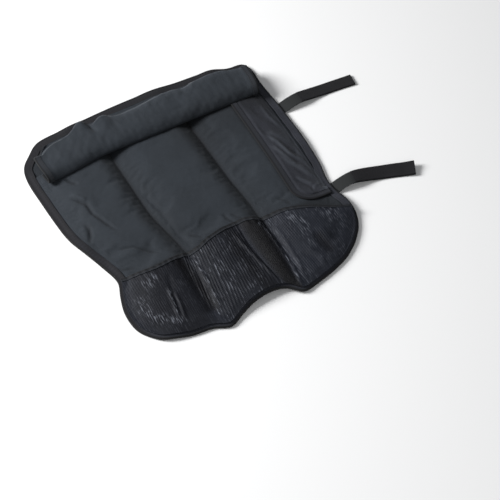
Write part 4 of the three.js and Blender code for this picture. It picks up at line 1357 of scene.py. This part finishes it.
def net_values(piece):
    """The painted highlight and the painted shade at each point, from the shares that the UV map holds.
    """
    s, t = shares_on(piece, net_size)
    x, y, pocket, within = net_spot(s, t)
    crest = net_crest(x, y, pocket, within)
    arch = 1 - np.abs(2 * within - 1) ** 4
    painted_hollow_shade = pocket_painted_shade[pocket] * arch
    # Painted shade in the valleys between the net's bulges, where the painted highlight is weaker too.
    valley = fold_along([(-82, -98), (-79, -150), (-78, -225)], x, y, 13, 0.1)
    valley += 0.7 * fold_along([(141, -160), (143, -185), (150, -214)], x, y, 9)
    valley += 0.5 * step(within, 0.62, 0.8) * (pocket == 1)
    glint = crest ** 4 * pocket_glint[pocket] * (0.6 + 0.5 * ripple(x, y, 45, 17))
    for points, wide in net_glints:
        glint += (0.25 + 0.75 * crest) * fold_along(points, x, y, wide, 0.15)
    valley = np.clip(valley, 0, 1)
    return np.clip(glint, 0, 1) * (1 - 0.8 * valley), np.clip(painted_hollow_shade + 0.8 * valley, 0, 1)


def knitted_net():
    material, shade = start_finish("knitted_net", 0.0, specular=0.2)
    u, v = threads_of(shade)
    place = objects_place(shade)
    stretched = shade.node("Mapping", {}, {"Vector": place, "Scale": (520.0, 75.0, 75.0)})
    streaks = shade.node("TexNoise", {}, {"Vector": stretched, "Scale": 1.0, "Detail": 2.0})
    shine = spread(streaks, 0.5, 0.6) * kept(shade, "glint")
    across = waves_every(0.0018, u)
    along = waves_every(0.0024, v)
    hole = (across * along).size() > 0.72
    colour = noise(shade, place, 30, 3).tint(linear(23, 26, 33), linear(44, 47, 56))
    # Painted shade over the pockets and in the valleys.
    colour = kept(shade, "painted_hollow_shade").tint(colour, linear(14, 14, 18))
    # Painted highlight: the thread's shine streaks are painted into the base colour.
    colour = (shine * 0.7).tint(colour, linear(128, 132, 142))
    height = across * 0.4 + along * 0.25
    connect(shade, colour, 0.62 - shine * 0.2, height, 0.00025, strength=0.8, alpha=1 - hole)
    return material


glint_values, painted_hollow_shade_values = net_values(net)
keep_on_points(net, "glint", glint_values)
keep_on_points(net, "painted_hollow_shade", painted_hollow_shade_values)
net_finish = knitted_net()
print("net made, mean glint", float(glint_values.mean().round(2)))

# %% [markdown]
# The straps are woven from thick yarn in a slanting twill, and the hook tape has a tight field of small
# stiff hooks that swallows the light.

# %% Webbing and hook tape
def webbing():
    material, shade = start_finish("webbing", 0.03, specular=0.25)
    u, v = threads_of(shade)
    cloudy = noise(shade, objects_place(shade), 60, 3)
    twill = waves_every(0.0022, u + v.size() * 0.8) * 0.5 + 0.5
    yarn = waves_every(0.0016, v) * 0.5 + 0.5
    tone = twill * 0.45 + yarn * 0.2 + cloudy * 0.4
    colour = tone.tint(linear(28, 30, 31), linear(46, 48, 49))
    connect(shade, colour, 0.66 + cloudy * 0.15, twill + yarn * 0.4, 0.0003)
    return material


def hook_tape():
    material, shade = start_finish("hook_tape", 0.04, specular=0.15)
    u, v = threads_of(shade)
    place = objects_place(shade)
    rows = waves_every(0.0016, u) * waves_every(0.0016, v)
    fuzz = noise(shade, place, 1400, 2)
    cloudy = noise(shade, place, 50, 2)
    half = hook_width * millimetre / 2
    edge = (v - half).size() > half - 0.0011
    tone = rows * 0.2 + fuzz * 0.4 + cloudy * 0.4
    colour = edge.tint(tone.tint(linear(30, 30, 32), linear(47, 46, 50)), linear(20, 20, 22))
    connect(shade, colour, 0.85 + fuzz * 0.1, (rows + fuzz) * (1 - edge), 0.0004)
    return material


strap_webbing, strap_hooks = webbing(), hook_tape()
print("straps' finishes made")

# %% [markdown]
# Every piece rides on the root body, takes the place of its CAD solid, which is hidden, and gets its
# finish. Each row also names the solid's material slot, the size the cloth was cut to, how it is held
# and what it lies on, which the loop below does not use.

# %% Give each piece its finish and its place
tape_size = rim_length * millimetre, tape_flat_width * millimetre
side_band_size = side_length * millimetre, side_band_flat_width * millimetre
rows = [
    (cover, "outer_cover", "leatherette", cover_leatherette, (0.454, 0.502), "laid", ()),
    (lining, "inner_lining", "lining_nylon", lining_nylon, (0.454, 0.502), "laid", ("cover_sheet",)),
    (edge_tape, "edge_binding", "binding_tape", edge_tape_finish, tape_size, "folded",
     ("lining_sheet", "cover_sheet")),
    (panel, "channel_panel", "padded_nylon", panel_nylon, (0.431, 0.406), "laid", ("lining_sheet",)),
    (net, "mesh_pockets", "mesh_net", net_finish, (0.431, 0.16), "gathered", ("channel_quilt",)),
    (hem, "mesh_hem", "binding_tape", hem_finish, (0.42, 0.017), "folded", ("net_pockets",)),
    (flap, "top_flap", "padded_nylon", flap_nylon, (0.414, 0.125), "folded", ("lining_sheet",)),
    (bands["left"], "top_flap_band_left", "binding_tape", flap_band_finish, (0.115, 0.025), "folded",
     ("rolled_flap",)),
    (bands["right"], "top_flap_band_right", "binding_tape", flap_band_finish, (0.115, 0.025), "folded",
     ("rolled_flap",)),
    (side_flap, "side_flap", "padded_nylon", side_nylon, (0.246, 0.06), "laid", ("channel_quilt",)),
    (side_band, "side_flap_binding", "binding_tape", side_band_finish, side_band_size, "folded",
     ("side_flap_sheet",)),
]
for strap in straps:
    rows.append((strap_pieces[strap], "strap_" + strap, "webbing", strap_webbing, (0.142, 0.024),
                 "laid", ()))
    rows.append((hook_pieces[strap], "hook_tape_" + strap, "hook_tape", strap_hooks, (0.106, 0.023),
                 "laid", ("webbing_" + strap,)))
for piece, node, slot, material, flat, held, rests_on in rows:
    piece.data.materials.clear()
    piece.data.materials.append(material)
    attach(piece, "root")
    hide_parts(node)
print(len(rows), "pieces declared")

# %% [markdown]
# The photograph is a studio shot on white, from high up and a little to the left, with a long lens. The
# floor is a plain pale sheet. One broad soft lamp stands behind on the left, a weaker one in front, and
# a pale sky fills in the rest, so that the black cloth keeps its shape without hard shadows.

# %% Floor, lamps and camera
def soft_lamp(name, place, target, size, power):
    bpy.ops.object.light_add(type="AREA", location=place)
    lamp = bpy.context.object
    lamp.name = name
    lamp.data.shape = "DISK"
    lamp.data.size = size
    lamp.data.energy = power
    lamp.rotation_euler = (Vector(target) - Vector(place)).to_track_quat("-Z", "Y").to_euler()
    return lamp


bpy.ops.object.select_all(action="DESELECT")
bpy.ops.mesh.primitive_plane_add(size=14, location=(0, 0, 0))
floor = bpy.context.object
floor.name = "studio_floor"
floor_finish = bpy.data.materials.new("pale_floor")
floor_finish.use_nodes = True
floor_shader = floor_finish.node_tree.nodes["Principled BSDF"]
floor_shader.inputs["Base Color"].default_value = (0.96, 0.96, 0.96, 1)
floor_shader.inputs["Roughness"].default_value = 0.9
floor.data.materials.append(floor_finish)

soft_lamp("key_lamp", (-2.0, 1.35, 1.6), (0, 0, 0), 1.4, 136)
soft_lamp("front_lamp", (-0.5, -2.0, 2.0), (0, 0, 0), 1.6, 12)
world = bpy.data.worlds.new("pale_sky")
world.use_nodes = True
world.node_tree.nodes["Background"].inputs["Color"].default_value = (0.96, 0.98, 1.0, 1)
world.node_tree.nodes["Background"].inputs["Strength"].default_value = 0.19
bpy.context.scene.world = world
bpy.context.scene.view_settings.view_transform = "Standard"

camera_place = Vector((-0.9376, -1.9596, 2.7453))
camera_target = Vector((0.0336, -0.133, 0))
camera_data = bpy.data.cameras.new("photo_camera")
camera_data.lens = 150
camera_data.sensor_width = 36
camera = bpy.data.objects.new("photo_camera", camera_data)
bpy.context.scene.collection.objects.link(camera)
camera.location = camera_place
camera.rotation_euler = (camera_target - camera_place).to_track_quat("-Z", "Y").to_euler()
bpy.context.scene.camera = camera
print("the camera is", round((camera_target - camera_place).length, 2), "m away")
